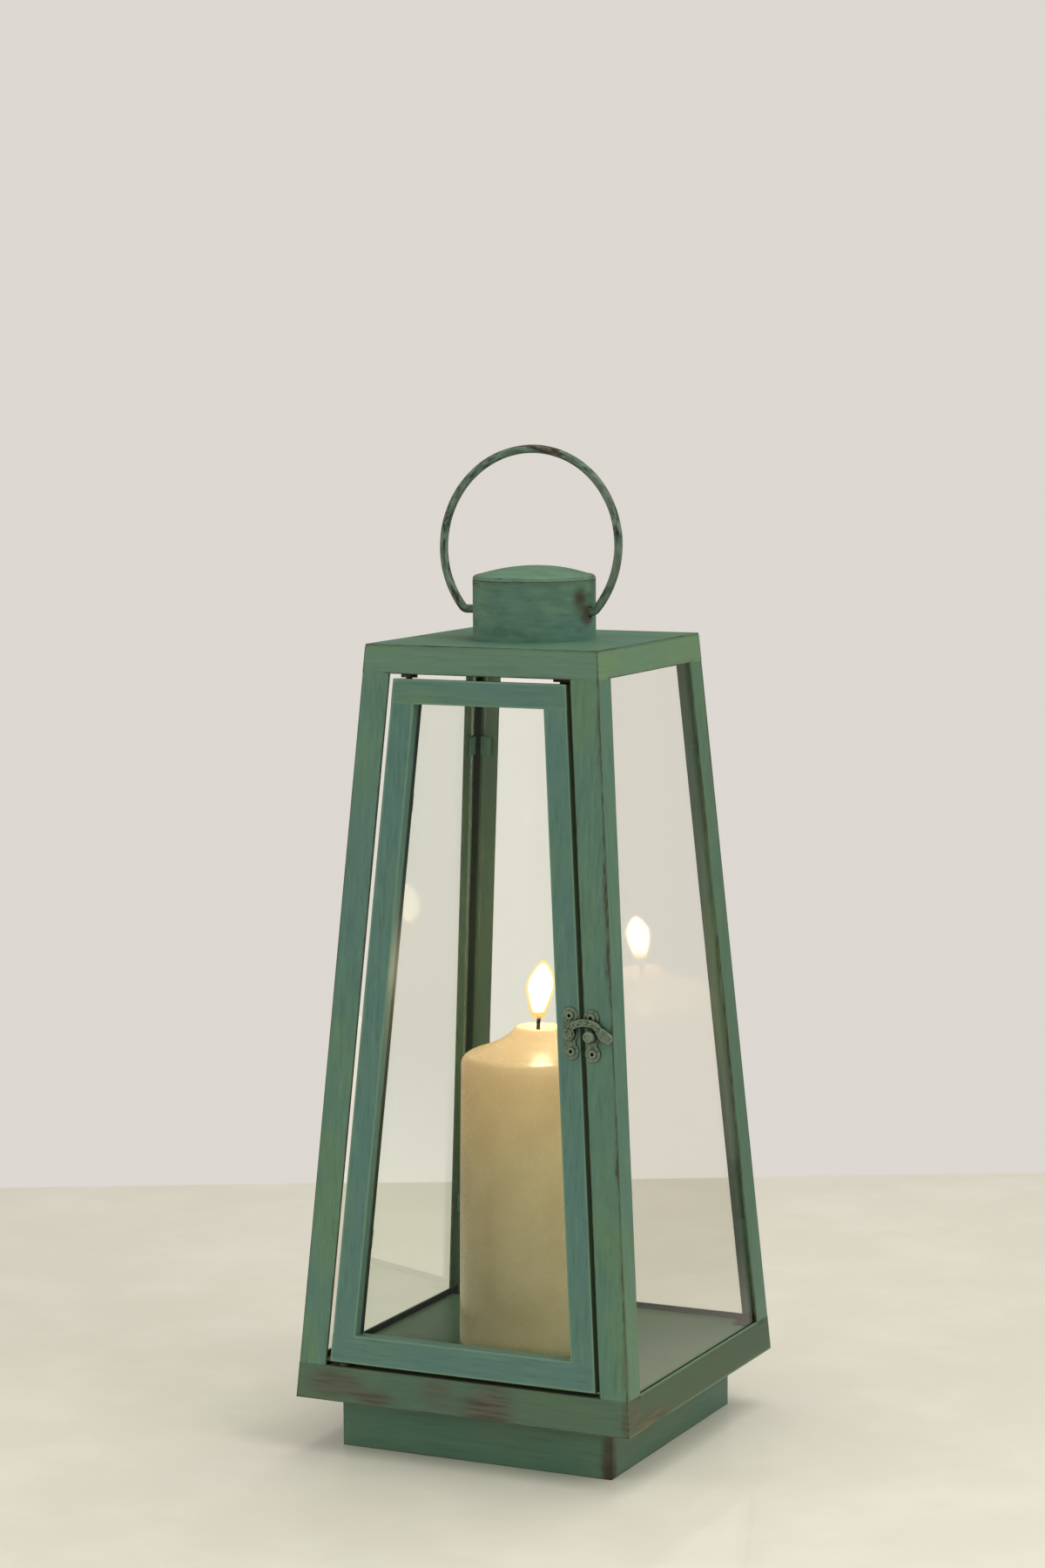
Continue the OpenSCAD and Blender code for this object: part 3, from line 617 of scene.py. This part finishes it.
def rounded_sheet(node, neighbours, others, planes, bevel=0.35 * MM, wear_width=2.2 * MM):
    """A folded sheet piece with rounded free edges: wear, and the inner corners and gaps for painted shade,
    as attributes.
    """
    bm = welded(node)
    mark_gaps(bm, others)
    nooks = nook_lines(bm)
    for point, normal in planes:
        every = list(bm.verts) + list(bm.edges) + list(bm.faces)
        bmesh.ops.bisect_plane(bm, geom=every, dist=0.01 * MM, plane_co=point, plane_no=normal)
    found = free_edges(bm, neighbours)
    lines = [(edge.verts[0].co.copy(), edge.verts[1].co.copy(), a, b) for edge, a, b in found]
    rounded = [edge for edge, a, b in found if a.angle(b, 0) < SHARP_TURN]
    bmesh.ops.bevel(
        bm,
        geom=rounded,
        offset=bevel,
        offset_type="OFFSET",
        segments=3,
        profile=0.5,
        affect="EDGES",
        clamp_overlap=True,
    )
    for start, end, a, b in lines:
        if (end - start).length > 4 * MM:
            for normal in (a, b):
                cut_beside(bm, start, end, normal, wear_width)
    for start, end, a, b in nooks:
        for normal in (a, b):
            cut_beside(bm, start, end, normal, NOOK_WIDTH)
    wear = bm.verts.layers.float.new("wear")
    # Marks the inner corners for painted shade in the paint
    nook_shade = bm.verts.layers.float.new("nook_shade")
    for vert in bm.verts:
        vert[wear] = max(0.0, 1 - nearest_of(lines, vert.co) / wear_width)
        vert[nook_shade] = 1.0 if nearest_of(nooks, vert.co) < 0.05 * MM else 0.0
    mesh = bpy.data.meshes.new(node + "_dressed")
    bm.to_mesh(mesh)
    bm.free()
    return mesh


def inside_face(face, point):
    """True if a point in a face's plane lies within its corners' box."""
    low = [min(v.co[i] for v in face.verts) - 0.01 * MM for i in range(3)]
    high = [max(v.co[i] for v in face.verts) + 0.01 * MM for i in range(3)]
    flat = abs((point - face.verts[0].co).dot(face.normal)) < 0.05 * MM
    return flat and all(low[i] <= point[i] <= high[i] for i in range(3))


def nearest_of(lines, point):
    return min((distance_to(point, start, end) for start, end, _, _ in lines), default=1.0)


def distance_to(point, start, end):
    way = end - start
    share = max(0.0, min(1.0, (point - start).dot(way) / way.length_squared))
    return (start + way * share - point).length


make_camera()

# The painted sheet: how each piece was brushed, how brown it is and how blue

PAINTED = {
    "front_left_post": ("up", 0.25, 0.2),
    "front_right_post": ("up", 0.2, 0.1),
    "rear_left_post": ("up", -0.2, 0.0),
    "rear_right_post": ("up", -0.1, 0.0),
    "front_top_rail": ("across", 0.05, 0.2),
    "right_top_rail": ("across", 0.1, 0.0),
    "rear_top_rail": ("across", 0.1, 0.1),
    "left_top_rail": ("across", 0.1, 0.1),
    "front_bottom_rail": ("across", 0.35, 0.05),
    "right_bottom_rail": ("across", 0.3, 0.05),
    "rear_bottom_rail": ("across", 0.5, 0.05),
    "left_bottom_rail": ("across", 0.5, 0.05),
    "plinth": ("across", 0.25, 0.05),
    "floor_plate": ("flat", -0.2, 0.0),
    "roof_plate": ("flat", 0.0, 0.05),
    "chimney_tube": ("across", 0.15, 0.2),
    "door_top_rail": ("across", 0.05, 0.3),
    "door_bottom_rail": ("across", 0.0, 0.45),
    "door_left_stile": ("up", 0.0, 0.4),
    "door_right_stile": ("up", 0.05, 0.35),
}

# Per-piece colour shifts, as a share and a colour: on the top rails a painted highlight for their better-lit
# faces, on the plinth painted shade under the rails, elsewhere darker and yellower tints
TINTS_AND_PAINTED_LIGHT = {
    "front_bottom_rail": (0.4, (0.046, 0.058, 0.032)),
    "right_bottom_rail": (0.68, (0.036, 0.052, 0.014)),
    "front_top_rail": (0.3, (0.17, 0.27, 0.155)),
    "right_top_rail": (0.35, (0.22, 0.34, 0.15)),
    "plinth": (0.3, DEEP),
    "floor_plate": (0.6, (0.07, 0.105, 0.05)),
    "rear_left_post": (0.45, (0.105, 0.15, 0.055)),
    "rear_right_post": (0.2, (0.075, 0.115, 0.035)),
}
MOTTLED = {"chimney_tube": 0.45, "roof_plate": 0.25, "floor_plate": 0.2}
DOOR_MEMBERS = ("door_top_rail", "door_bottom_rail", "door_left_stile", "door_right_stile")

# Worn places: middle and reach in millimetres, how much each axis counts, strength and colour
STAINS = {
    "chimney_tube": (
        ((27.4, -8.5, 397.5), 9, (1, 1, 1), 0.85, RUST),
        ((28.85, -3, 391), 7.5, (1, 1, 1), 0.85, RUST),
    ),
    "plinth": (
        ((69.3, -69.3, 8), 6.5, (1, 1, 0.2), 0.8, RUST),
        ((69.3, -69.3, 1), 5, (1, 1, 0.5), 0.8, DARK_UMBER),
        ((69.3, -61, 23), 5, (1, 0.3, 1), 0.45, MAUVE),
    ),
    "front_bottom_rail": (
        ((14, -82.9, 31), 17, (0.85, 1, 1), 0.8, MAUVE),
        ((-12, -82.9, 36), 11, (0.8, 1, 1), 0.5, MAUVE),
        ((-43.8, -83.2, 29), 8, (0.5, 1, 1.3), 0.75, UMBER),
        ((-64, -82.8, 34), 12, (0.55, 1, 1.3), 0.65, MAUVE),
        ((83.4, -83.4, 32), 3.4, (1, 1, 0.2), 0.65, UMBER),
    ),
    "right_bottom_rail": (
        ((83.4, -60, 26), 10, (1, 0.35, 1), 0.8, OLIVE),
        ((83, -76, 36), 8, (1, 1, 0.8), 0.6, MAUVE),
        ((83.4, -83.4, 32), 3.4, (1, 1, 0.2), 0.65, UMBER),
    ),
    "front_right_post": (
        ((81.6, -81.6, 50), 3, (1, 1, 0.12), 0.6, UMBER),
    ),
    "rear_left_post": (
        ((-67.2, 65.5, 228), 5, (1, 1, 0.14), 0.75, RUST),
    ),
}


def butt_planes(node):
    """Planes across a rail where the posts or stiles beside it end."""
    side = node.split("_")[0]
    along = Vector((0, 1, 0)) if side in ("left", "right") else Vector((1, 0, 0))
    planes = []
    for other in PAINTED:
        if other.endswith(("_post", "_stile")) and side in other.split("_")[:2]:
            bm = welded(other)
            faces = (f for f in bm.faces if abs(f.normal.dot(along)) > 0.95 and f.calc_area() > 100 * MM**2)
            planes += [(f.verts[0].co.copy(), f.normal.copy()) for f in faces]
            bm.free()
    return planes


def dress_sheets():
    trees = {n: solid_tree(n) for n in PAINTED}
    latch_spot = Vector(JOINTS["latch_lift"]["pos_m"]) + Vector((LATCH_SPAN / 2, 0, 0))
    for node, (brush, rust, blue) in PAINTED.items():
        neighbours = [tree for n, tree in trees.items() if n != node and BODY_OF[n] == BODY_OF[node]]
        others = [tree for n, tree in trees.items() if BODY_OF[n] != BODY_OF[node]]
        planes = butt_planes(node) if node.endswith("_rail") else []
        spots = [
            (Vector(place) * MM, reach * MM, stretch, share, worn)
            for place, reach, stretch, share, worn in STAINS.get(node, ())
        ]
        material = paint(
            "paint_" + node,
            brush,
            rust,
            blue,
            spots,
            gloss=0.3 if node == "floor_plate" else 0.42,
            edge_highlight=0.9 if node in (*DOOR_MEMBERS, "right_bottom_rail") else 0.0,
            seat=0.95 if node in ("door_left_stile", "door_right_stile") else 0.0,
            near=latch_spot if node in ("door_right_stile", "front_right_post") else None,
            mottle=MOTTLED.get(node, 0.0),
            tint_and_light=TINTS_AND_PAINTED_LIGHT.get(node, (0.0, DEEP)),
        )
        mesh = rounded_sheet(node, neighbours, others, planes)
        made = piece(node + "_sheet", mesh, BODY_OF[node], material)
        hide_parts(node)


def make_cap():
    """The cap: a slightly uneven dome on the chimney, worn at its rolled rim."""
    sphere_r = ((CHIMNEY_R - CAP_EDGE) ** 2 + CAP_RISE**2) / (2 * CAP_RISE)
    base = ROOF_Z + CHIMNEY_H
    steps = 20
    profile = [(CHIMNEY_R - 2.4 * MM, base - 4 * MM), (CHIMNEY_R - 1.3 * MM, base - 4 * MM)]
    profile += [(CHIMNEY_R - 1.3 * MM, base), (CHIMNEY_R - 0.4 * MM, base)]
    for i in range(7):
        a = math.radians(15 * i)
        profile.append((CHIMNEY_R - CAP_EDGE * (1 - math.cos(a)), base + 0.15 * MM + CAP_EDGE * math.sin(a)))
    for i in range(1, steps + 1):
        r = (CHIMNEY_R - CAP_EDGE) * (1 - i / steps)
        profile.append((r, base + CAP_EDGE + math.sqrt(sphere_r**2 - r * r) - sphere_r + CAP_RISE))
    bm = bmesh.new()
    lathe(bm, profile, 128, Matrix())
    layer = bm.verts.layers.float.new("wear")
    for vert in bm.verts:
        r = math.hypot(vert.co.x, vert.co.y)
        near_rim = abs(r - CHIMNEY_R + 0.6 * MM) + abs(vert.co.z - base - 1.2 * MM)
        vert[layer] = max(0.0, 1 - near_rim / (2.2 * MM))
        vert.co.z += 0.16 * MM * (noise.noise(vert.co * 60) - 0.3) * min(1, 4 * (1 - r / CHIMNEY_R))
    # Painted sheen: the lighter mix on the cap stands in for the light its dome catches
    material = paint("paint_cap", "flat", 0.1, 0.05, mottle=0.5, tint_and_light=(0.25, PALE))
    made = piece("cap_dome", mesh_of("cap_dome", bm), "lantern", material)
    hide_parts("chimney_cap")


def ring_path():
    """The wire's middle line in its own plane, from one end inside the chimney to the other."""
    opening = math.acos(BEND_X / (RING_R - BEND_R))
    middle = (RING_R - BEND_R) * math.sin(opening) + BEND_R
    half = [(CHIMNEY_R - RING_GRIP + i * 1.5 * MM, 0.0) for i in range(7)]
    half = [p for p in half if p[0] < BEND_X - 0.5 * MM]
    for i in range(9):
        a = -math.pi / 2 + (math.pi / 2 - opening) * i / 8
        half.append((BEND_X + BEND_R * math.cos(a), BEND_R + BEND_R * math.sin(a)))
    for i in range(1, 71):
        a = -opening + (math.pi / 2 + opening) * i / 70
        half.append((RING_R * math.cos(a), middle + RING_R * math.sin(a)))
    return half + [(-x, y) for x, y in half[-2::-1]]


def make_ring():
    """The handle: bent wire, not quite even."""
    up = Vector((0, math.sin(RING_LEAN), math.cos(RING_LEAN)))
    start = Vector((-RING_SHIFT, 0, RING_Z))
    across = Vector((0, math.cos(RING_LEAN), -math.sin(RING_LEAN)))
    path, radii = [], []
    for x, y in ring_path():
        point = start + Vector((x, 0, 0)) + up * y
        free = min(1.0, max(0.0, y - 4 * MM) / (20 * MM))
        uneven = 0.22 * MM * free * noise.noise(point * 38)
        path.append(point + across * uneven)
        radii.append(WIRE_R * (1 - 0.03 * free + 0.04 * free * noise.noise(point * 90)))
    bm = bmesh.new()
    tube(bm, path, radii, 24, across)
    made = piece("ring_wire", mesh_of("ring_wire", bm), "handle", wire_paint())
    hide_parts("ring_handle")


# The latch

def latch_frame(across=0.0, up=0.0):
    """Where a latch plate lies: x across it, y up the door's edge, z out of the front."""
    right = Vector((1, 0, 0))
    slope = Vector((0, math.sin(LEAN), math.cos(LEAN)))
    out = FRONT_OUT
    x = math.cos(EDGE_TILT) * right + math.sin(EDGE_TILT) * slope
    y = math.cos(EDGE_TILT) * slope - math.sin(EDGE_TILT) * right
    turn = Matrix((x, y, out)).transposed().to_4x4()
    pivot = Vector(JOINTS["latch_lift"]["pos_m"]) - HOOK_N * out
    return Matrix.Translation(pivot + across * x + up * y) @ turn


def make_rivets(name, node, body, place, material):
    """The two hollow rivets of a plate: rolled rims round holes painted near black as shade."""
    rim_r, roll_r, rim_z = 1.32 * MM, 0.62 * MM, 1.0 * MM
    profile = [(0.52 * MM, -1.6 * MM), (0.52 * MM, 0.6 * MM), (0.6 * MM, 0.85 * MM)]
    for i in range(13):
        a = math.pi - math.radians(18 * i - 18)
        profile.append((rim_r + roll_r * math.cos(a), rim_z + roll_r * math.sin(a)))
    profile += [(1.1 * MM, 0.5 * MM), (1.1 * MM, -1.6 * MM)]
    bm = bmesh.new()
    layer = bm.verts.layers.float.new("deep")
    for side in (-1, 1):
        spot = place @ Matrix.Translation((0, side * RIVET_PITCH / 2, 0))
        back = spot.inverted()
        for vert in lathe(bm, profile, 40, spot, closed=True):
            here = back @ vert.co
            if math.hypot(here.x, here.y) < 0.68 * MM and here.z < 1.05 * MM:
                vert[layer] = 1.0
    made = piece(name, mesh_of(name, bm), body, material, 60)
    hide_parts(node)


def make_latch():
    bronze = patina("patina", (0.03, 0.048, 0.028), (0.235, 0.31, 0.215))
    # A darker copy of the patina: painted shade for the hinge pins, washers and stop in the door's gap
    shaded_bronze = patina("patina_in_shade", (0.012, 0.022, 0.016), (0.04, 0.065, 0.048))
    for node, voxel, rounds, lumps in (
        ("latch_plate", 0.15 * MM, 5, 0.1 * MM),
        ("keeper_plate", 0.15 * MM, 5, 0.1 * MM),
        ("keeper_stud", 0.15 * MM, 14, 0.16 * MM),
        ("latch_pivot", 0.14 * MM, 6, 0.08 * MM),
        ("latch_hook", 0.15 * MM, 10, 0.16 * MM),
    ):
        mesh = cast([node], voxel, rounds, lumps)
        made = piece(node + "_cast", mesh, BODY_OF[node], bronze, 180)
        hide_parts(node)
    make_rivets("door_rivets", "latch_rivets", "door", latch_frame(), bronze)
    make_rivets("post_rivets", "keeper_rivets", "lantern", latch_frame(LATCH_SPAN, -KEEPER_DROP), bronze)
    use(shaded_bronze, "hinge_pins", "hinge_washers", "door_stop")


# The candle, the wick and the flame

# Radius and distance below the rim, in millimetres, from the melted pool to the candle's foot
CANDLE_TOP = (
    (1.1, 2.9), (3.5, 2.8), (6.5, 2.4), (8.3, 1.5), (9.3, 0.45), (10.1, 0.0), (11.0, 0.4), (12.3, 1.6),
    (13.9, 3.1), (15.9, 4.8), (18.4, 6.4), (21.2, 8.0), (24.0, 9.3), (27.0, 10.5), (29.8, 11.55),
    (32.0, 12.3), (33.6, 12.8), (34.9, 13.4), (36.0, 14.3), (36.8, 15.5), (37.2, 16.8), (37.3, 18.2),
)
CANDLE_R, CANDLE_FOOT_R = 37.3 * MM, 39.1 * MM


def make_candle():
    low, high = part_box("candle")
    centre = (low + high) / 2
    top, foot = high.z, low.z - 0.25 * MM
    profile = [(r * MM, top - d * MM) for r, d in smooth_line(CANDLE_TOP, 4)]
    side_low = foot + 0.4 * MM
    side_high = profile[-1][1]
    for i in range(1, 25):
        share = i / 24
        r = CANDLE_R + (CANDLE_FOOT_R - CANDLE_R) * share
        profile.append((r, side_high + (side_low - side_high) * share))
    profile += [(CANDLE_FOOT_R - 0.4 * MM, foot), (1.1 * MM, foot)]
    bm = bmesh.new()
    lathe(bm, profile, 160, Matrix.Translation((centre.x, centre.y, 0)), closed=True)
    for vert in bm.verts:
        out = Vector((vert.co.x - centre.x, vert.co.y - centre.y, 0))
        r = out.length
        way = out / r if r else Vector((1, 0, 0))
        if vert.co.z > foot + 0.2 * MM:
            dent = noise.noise(way * 1.3 + Vector((0, 0, vert.co.z * 14)))
            vert.co -= way * 0.22 * MM * (1 + dent) * min(1, r / (30 * MM))
        if vert.co.z > side_high and r > 5 * MM:
            sag = noise.noise(way * 1.6 + Vector((3, 1, r * 30)))
            vert.co.z += 0.5 * MM * (sag - 0.45) * min(1, (r - 5 * MM) / (8 * MM))
    made = piece("pillar", mesh_of("pillar", bm), "candle", wax(top - 14 * MM, top), 50)
    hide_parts("candle")


def make_wick():
    low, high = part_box("wick")
    centre = (low + high) / 2
    foot, top = high.z - 12 * MM, high.z
    path, radii = [], []
    for i in range(25):
        t = i / 24
        bend = 0.55 * MM * max(0, t - 0.45) ** 2 / 0.3
        path.append(Vector((centre.x + bend, centre.y, foot + (top - foot) * t)))
        radii.append(1.12 * MM * (1 - 0.1 * t) * (0.93 + 0.12 * noise.noise(Vector((0, 2, 9 * t)))))
    radii[-1] *= 0.6
    bm = bmesh.new()
    tube(bm, path, radii, 16, Vector((0, 1, 0)))
    material = charred(top - 7 * MM, top - 2 * MM)
    made = piece("burnt_wick", mesh_of("burnt_wick", bm), "candle", material, 60)
    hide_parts("wick")


# Radius and height of the flame above its foot, in millimetres
FLAME = (
    (0.0, 0.0), (2.4, 0.1), (3.4, 0.8), (3.9, 2.6), (4.8, 5.6), (5.8, 9.2), (6.5, 12.2), (6.8, 14.8),
    (6.6, 17.2), (5.9, 19.6), (4.7, 22.0), (3.2, 24.4), (1.6, 26.2), (0.0, 27.2),
)
FLAME_H, FLAME_LEAN = 27.2 * MM, Vector((0.6, 5.2, 0)) * MM


def flame_shell(name, foot, width, low, high, material):
    """A leaf-shaped shell round the wick's axis: its share of the width, and its part of the height."""
    box_low, box_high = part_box("wick")
    centre = (box_low + box_high) / 2
    span = high - low
    profile = [(r * MM * width, h * MM * span + low * FLAME_H) for r, h in smooth_line(FLAME, 3)]
    bm = bmesh.new()
    lathe(bm, profile, 32, Matrix())
    for vert in bm.verts:
        t = vert.co.z / FLAME_H
        vert.co += Vector((centre.x, centre.y, foot)) + FLAME_LEAN * max(0, t) ** 1.5
    piece(name, mesh_of(name, bm), "candle", material, 80)


def make_flame():
    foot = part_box("wick")[1].z - 1.2 * MM
    tip = foot + FLAME_H
    amber, gold, cream = (1.0, 0.5, 0.1), (1.0, 0.58, 0.16), (1.0, 0.86, 0.6)
    mantle = flame_glow("flame_mantle", foot, tip, (amber, gold, gold), (1.5, 1.7), (0.55, 0.7))
    heart = flame_glow("flame_heart", foot, tip, (gold, cream, cream), (12.0, 130.0), (0.15, 1.0))
    flame_shell("flame_outer", foot, 1.0, 0.0, 1.0, mantle)
    flame_shell("flame_inner", foot, 0.84, 0.1, 0.94, heart)


def use(material, *nodes):
    for node in nodes:
        data = frame["nodes"][node].data
        data.materials.clear()
        data.materials.append(material)


dress_sheets()
make_cap()
make_ring()
make_latch()
use(paint("paint_clips", "up", 0.3, 0.1), *[n for n in frame["nodes"] if n.endswith("_clips")])
frame_glass = glass("glass_frame", (1.0, 1.0, 0.985), OPENING_Z + 0.3 * MM)
use(frame_glass, "right_glass", "rear_glass", "left_glass")
use(glass("glass_door", (0.972, 0.99, 0.965)), "door_glass")
make_candle()
make_wick()
make_flame()

# The stage

BACKDROP = (1.0, 0.95, 0.885, 1)
BACKDROP_LEVEL, PANE_LEVEL, GLOSSY_LEVEL, WORLD_LEVEL = 0.72, 0.88, 0.18, 0.56
TABLE_HALF, TABLE_TURN = 0.533, math.radians(25.55 + 2.2)


def sight(nodes, links, extra_turns=0):
    """1 for what is looked at, also through panes; 0 for reflections, which turn an odd number of times."""
    rays = nodes.new("ShaderNodeLightPath")
    direct = nodes.new("ShaderNodeMath")
    direct.operation = "MAXIMUM"
    links.new(rays.outputs["Is Camera Ray"], direct.inputs[0])
    links.new(rays.outputs["Is Transmission Ray"], direct.inputs[1])
    turns = nodes.new("ShaderNodeMath")
    turns.operation = "SUBTRACT"
    turns.inputs[1].default_value = extra_turns
    links.new(rays.outputs["Ray Depth"], turns.inputs[0])
    odd = nodes.new("ShaderNodeMath")
    odd.operation = "MODULO"
    odd.inputs[1].default_value = 2
    links.new(turns.outputs[0], odd.inputs[0])
    seen = nodes.new("ShaderNodeMath")
    seen.operation = "SUBTRACT"
    seen.use_clamp = True
    links.new(direct.outputs[0], seen.inputs[0])
    links.new(odd.outputs[0], seen.inputs[1])
    return seen.outputs[0]


def backdrop_level(nodes, links, extra_turns=0):
    """The backdrop's brightness: pale when looked at, dimmer in reflections, soft as a light."""
    rays = nodes.new("ShaderNodeLightPath")
    mirrored = nodes.new("ShaderNodeMath")
    mirrored.operation = "MAXIMUM"
    links.new(rays.outputs["Is Glossy Ray"], mirrored.inputs[0])
    links.new(rays.outputs["Is Transmission Ray"], mirrored.inputs[1])
    unseen = nodes.new("ShaderNodeMapRange")
    unseen.inputs["To Min"].default_value = WORLD_LEVEL
    unseen.inputs["To Max"].default_value = GLOSSY_LEVEL
    links.new(mirrored.outputs[0], unseen.inputs["Value"])
    seen = nodes.new("ShaderNodeMapRange")
    seen.inputs["To Min"].default_value = BACKDROP_LEVEL
    seen.inputs["To Max"].default_value = PANE_LEVEL
    links.new(rays.outputs["Is Transmission Ray"], seen.inputs["Value"])
    level = nodes.new("ShaderNodeMix")
    links.new(seen.outputs[0], level.inputs["B"])
    links.new(unseen.outputs[0], level.inputs["A"])
    links.new(sight(nodes, links, extra_turns), level.inputs["Factor"])
    return level.outputs[0]


def make_world():
    """The backdrop all round, also most of the light. A ray that gets here counts one turn too many."""
    world = bpy.data.worlds.new("world")
    bpy.context.scene.world = world
    world.use_nodes = True
    nodes, links = world.node_tree.nodes, world.node_tree.links
    nodes["Background"].inputs["Color"].default_value = BACKDROP
    links.new(backdrop_level(nodes, links, 1), nodes["Background"].inputs["Strength"])


def make_floor():
    """A pale, slightly glossy table top that passes into the backdrop."""
    bm = bmesh.new()
    bmesh.ops.create_circle(bm, cap_ends=True, radius=8, segments=96)
    floor = bpy.data.objects.new("floor", mesh_of("floor", bm))
    bpy.context.scene.collection.objects.link(floor)
    t = Tree("floor_paint")
    marks = t.noise(t.place, 14, 5, 0.6)
    colour = t.mix(t.step(marks, 0.4, 0.7), (0.86, 0.84, 0.735), (0.91, 0.89, 0.785))
    shader = t.node("BsdfPrincipled", Base_Color=colour)
    shader.inputs["Roughness"].default_value = 0.07
    shader.inputs["Specular IOR Level"].default_value = 0.7
    turned = t.node("VectorRotate", {"rotation_type": "Z_AXIS"}, Vector=t.place, Angle=-TABLE_TURN)
    parts = t.node("SeparateXYZ", Vector=turned.outputs[0])
    far = t.math("MAXIMUM", t.math("ABSOLUTE", parts.outputs["X"]), t.math("ABSOLUTE", parts.outputs["Y"]))
    glow = t.node("Emission", Strength=backdrop_level(t.nodes, t.links))
    glow.inputs["Color"].default_value = BACKDROP
    seen = sight(t.nodes, t.links)
    sharp = t.times(t.step(far, TABLE_HALF, TABLE_HALF + 0.004), seen)
    soft = t.times(t.step(far, 0.14, 0.5), t.math("SUBTRACT", 1.0, seen))
    both = t.node("MixShader", Fac=t.plus(sharp, soft))
    t.links.new(shader.outputs[0], both.inputs[1])
    t.links.new(glow.outputs[0], both.inputs[2])
    floor.data.materials.append(t.surface(both.outputs[0]))


make_world()
make_floor()
WARM = (1.0, 0.975, 0.93)
area_light("key", (1.5, -0.3, 1.6), 1.3, 14.4, WARM)
area_light("fill", (-1.2, -1.5, 0.9), 1.6, 10.2, WARM)
area_light("top", (0.2, 0.6, 1.95), 1.4, 14.4, WARM)

bpy.context.scene.view_settings.view_transform = "Standard"
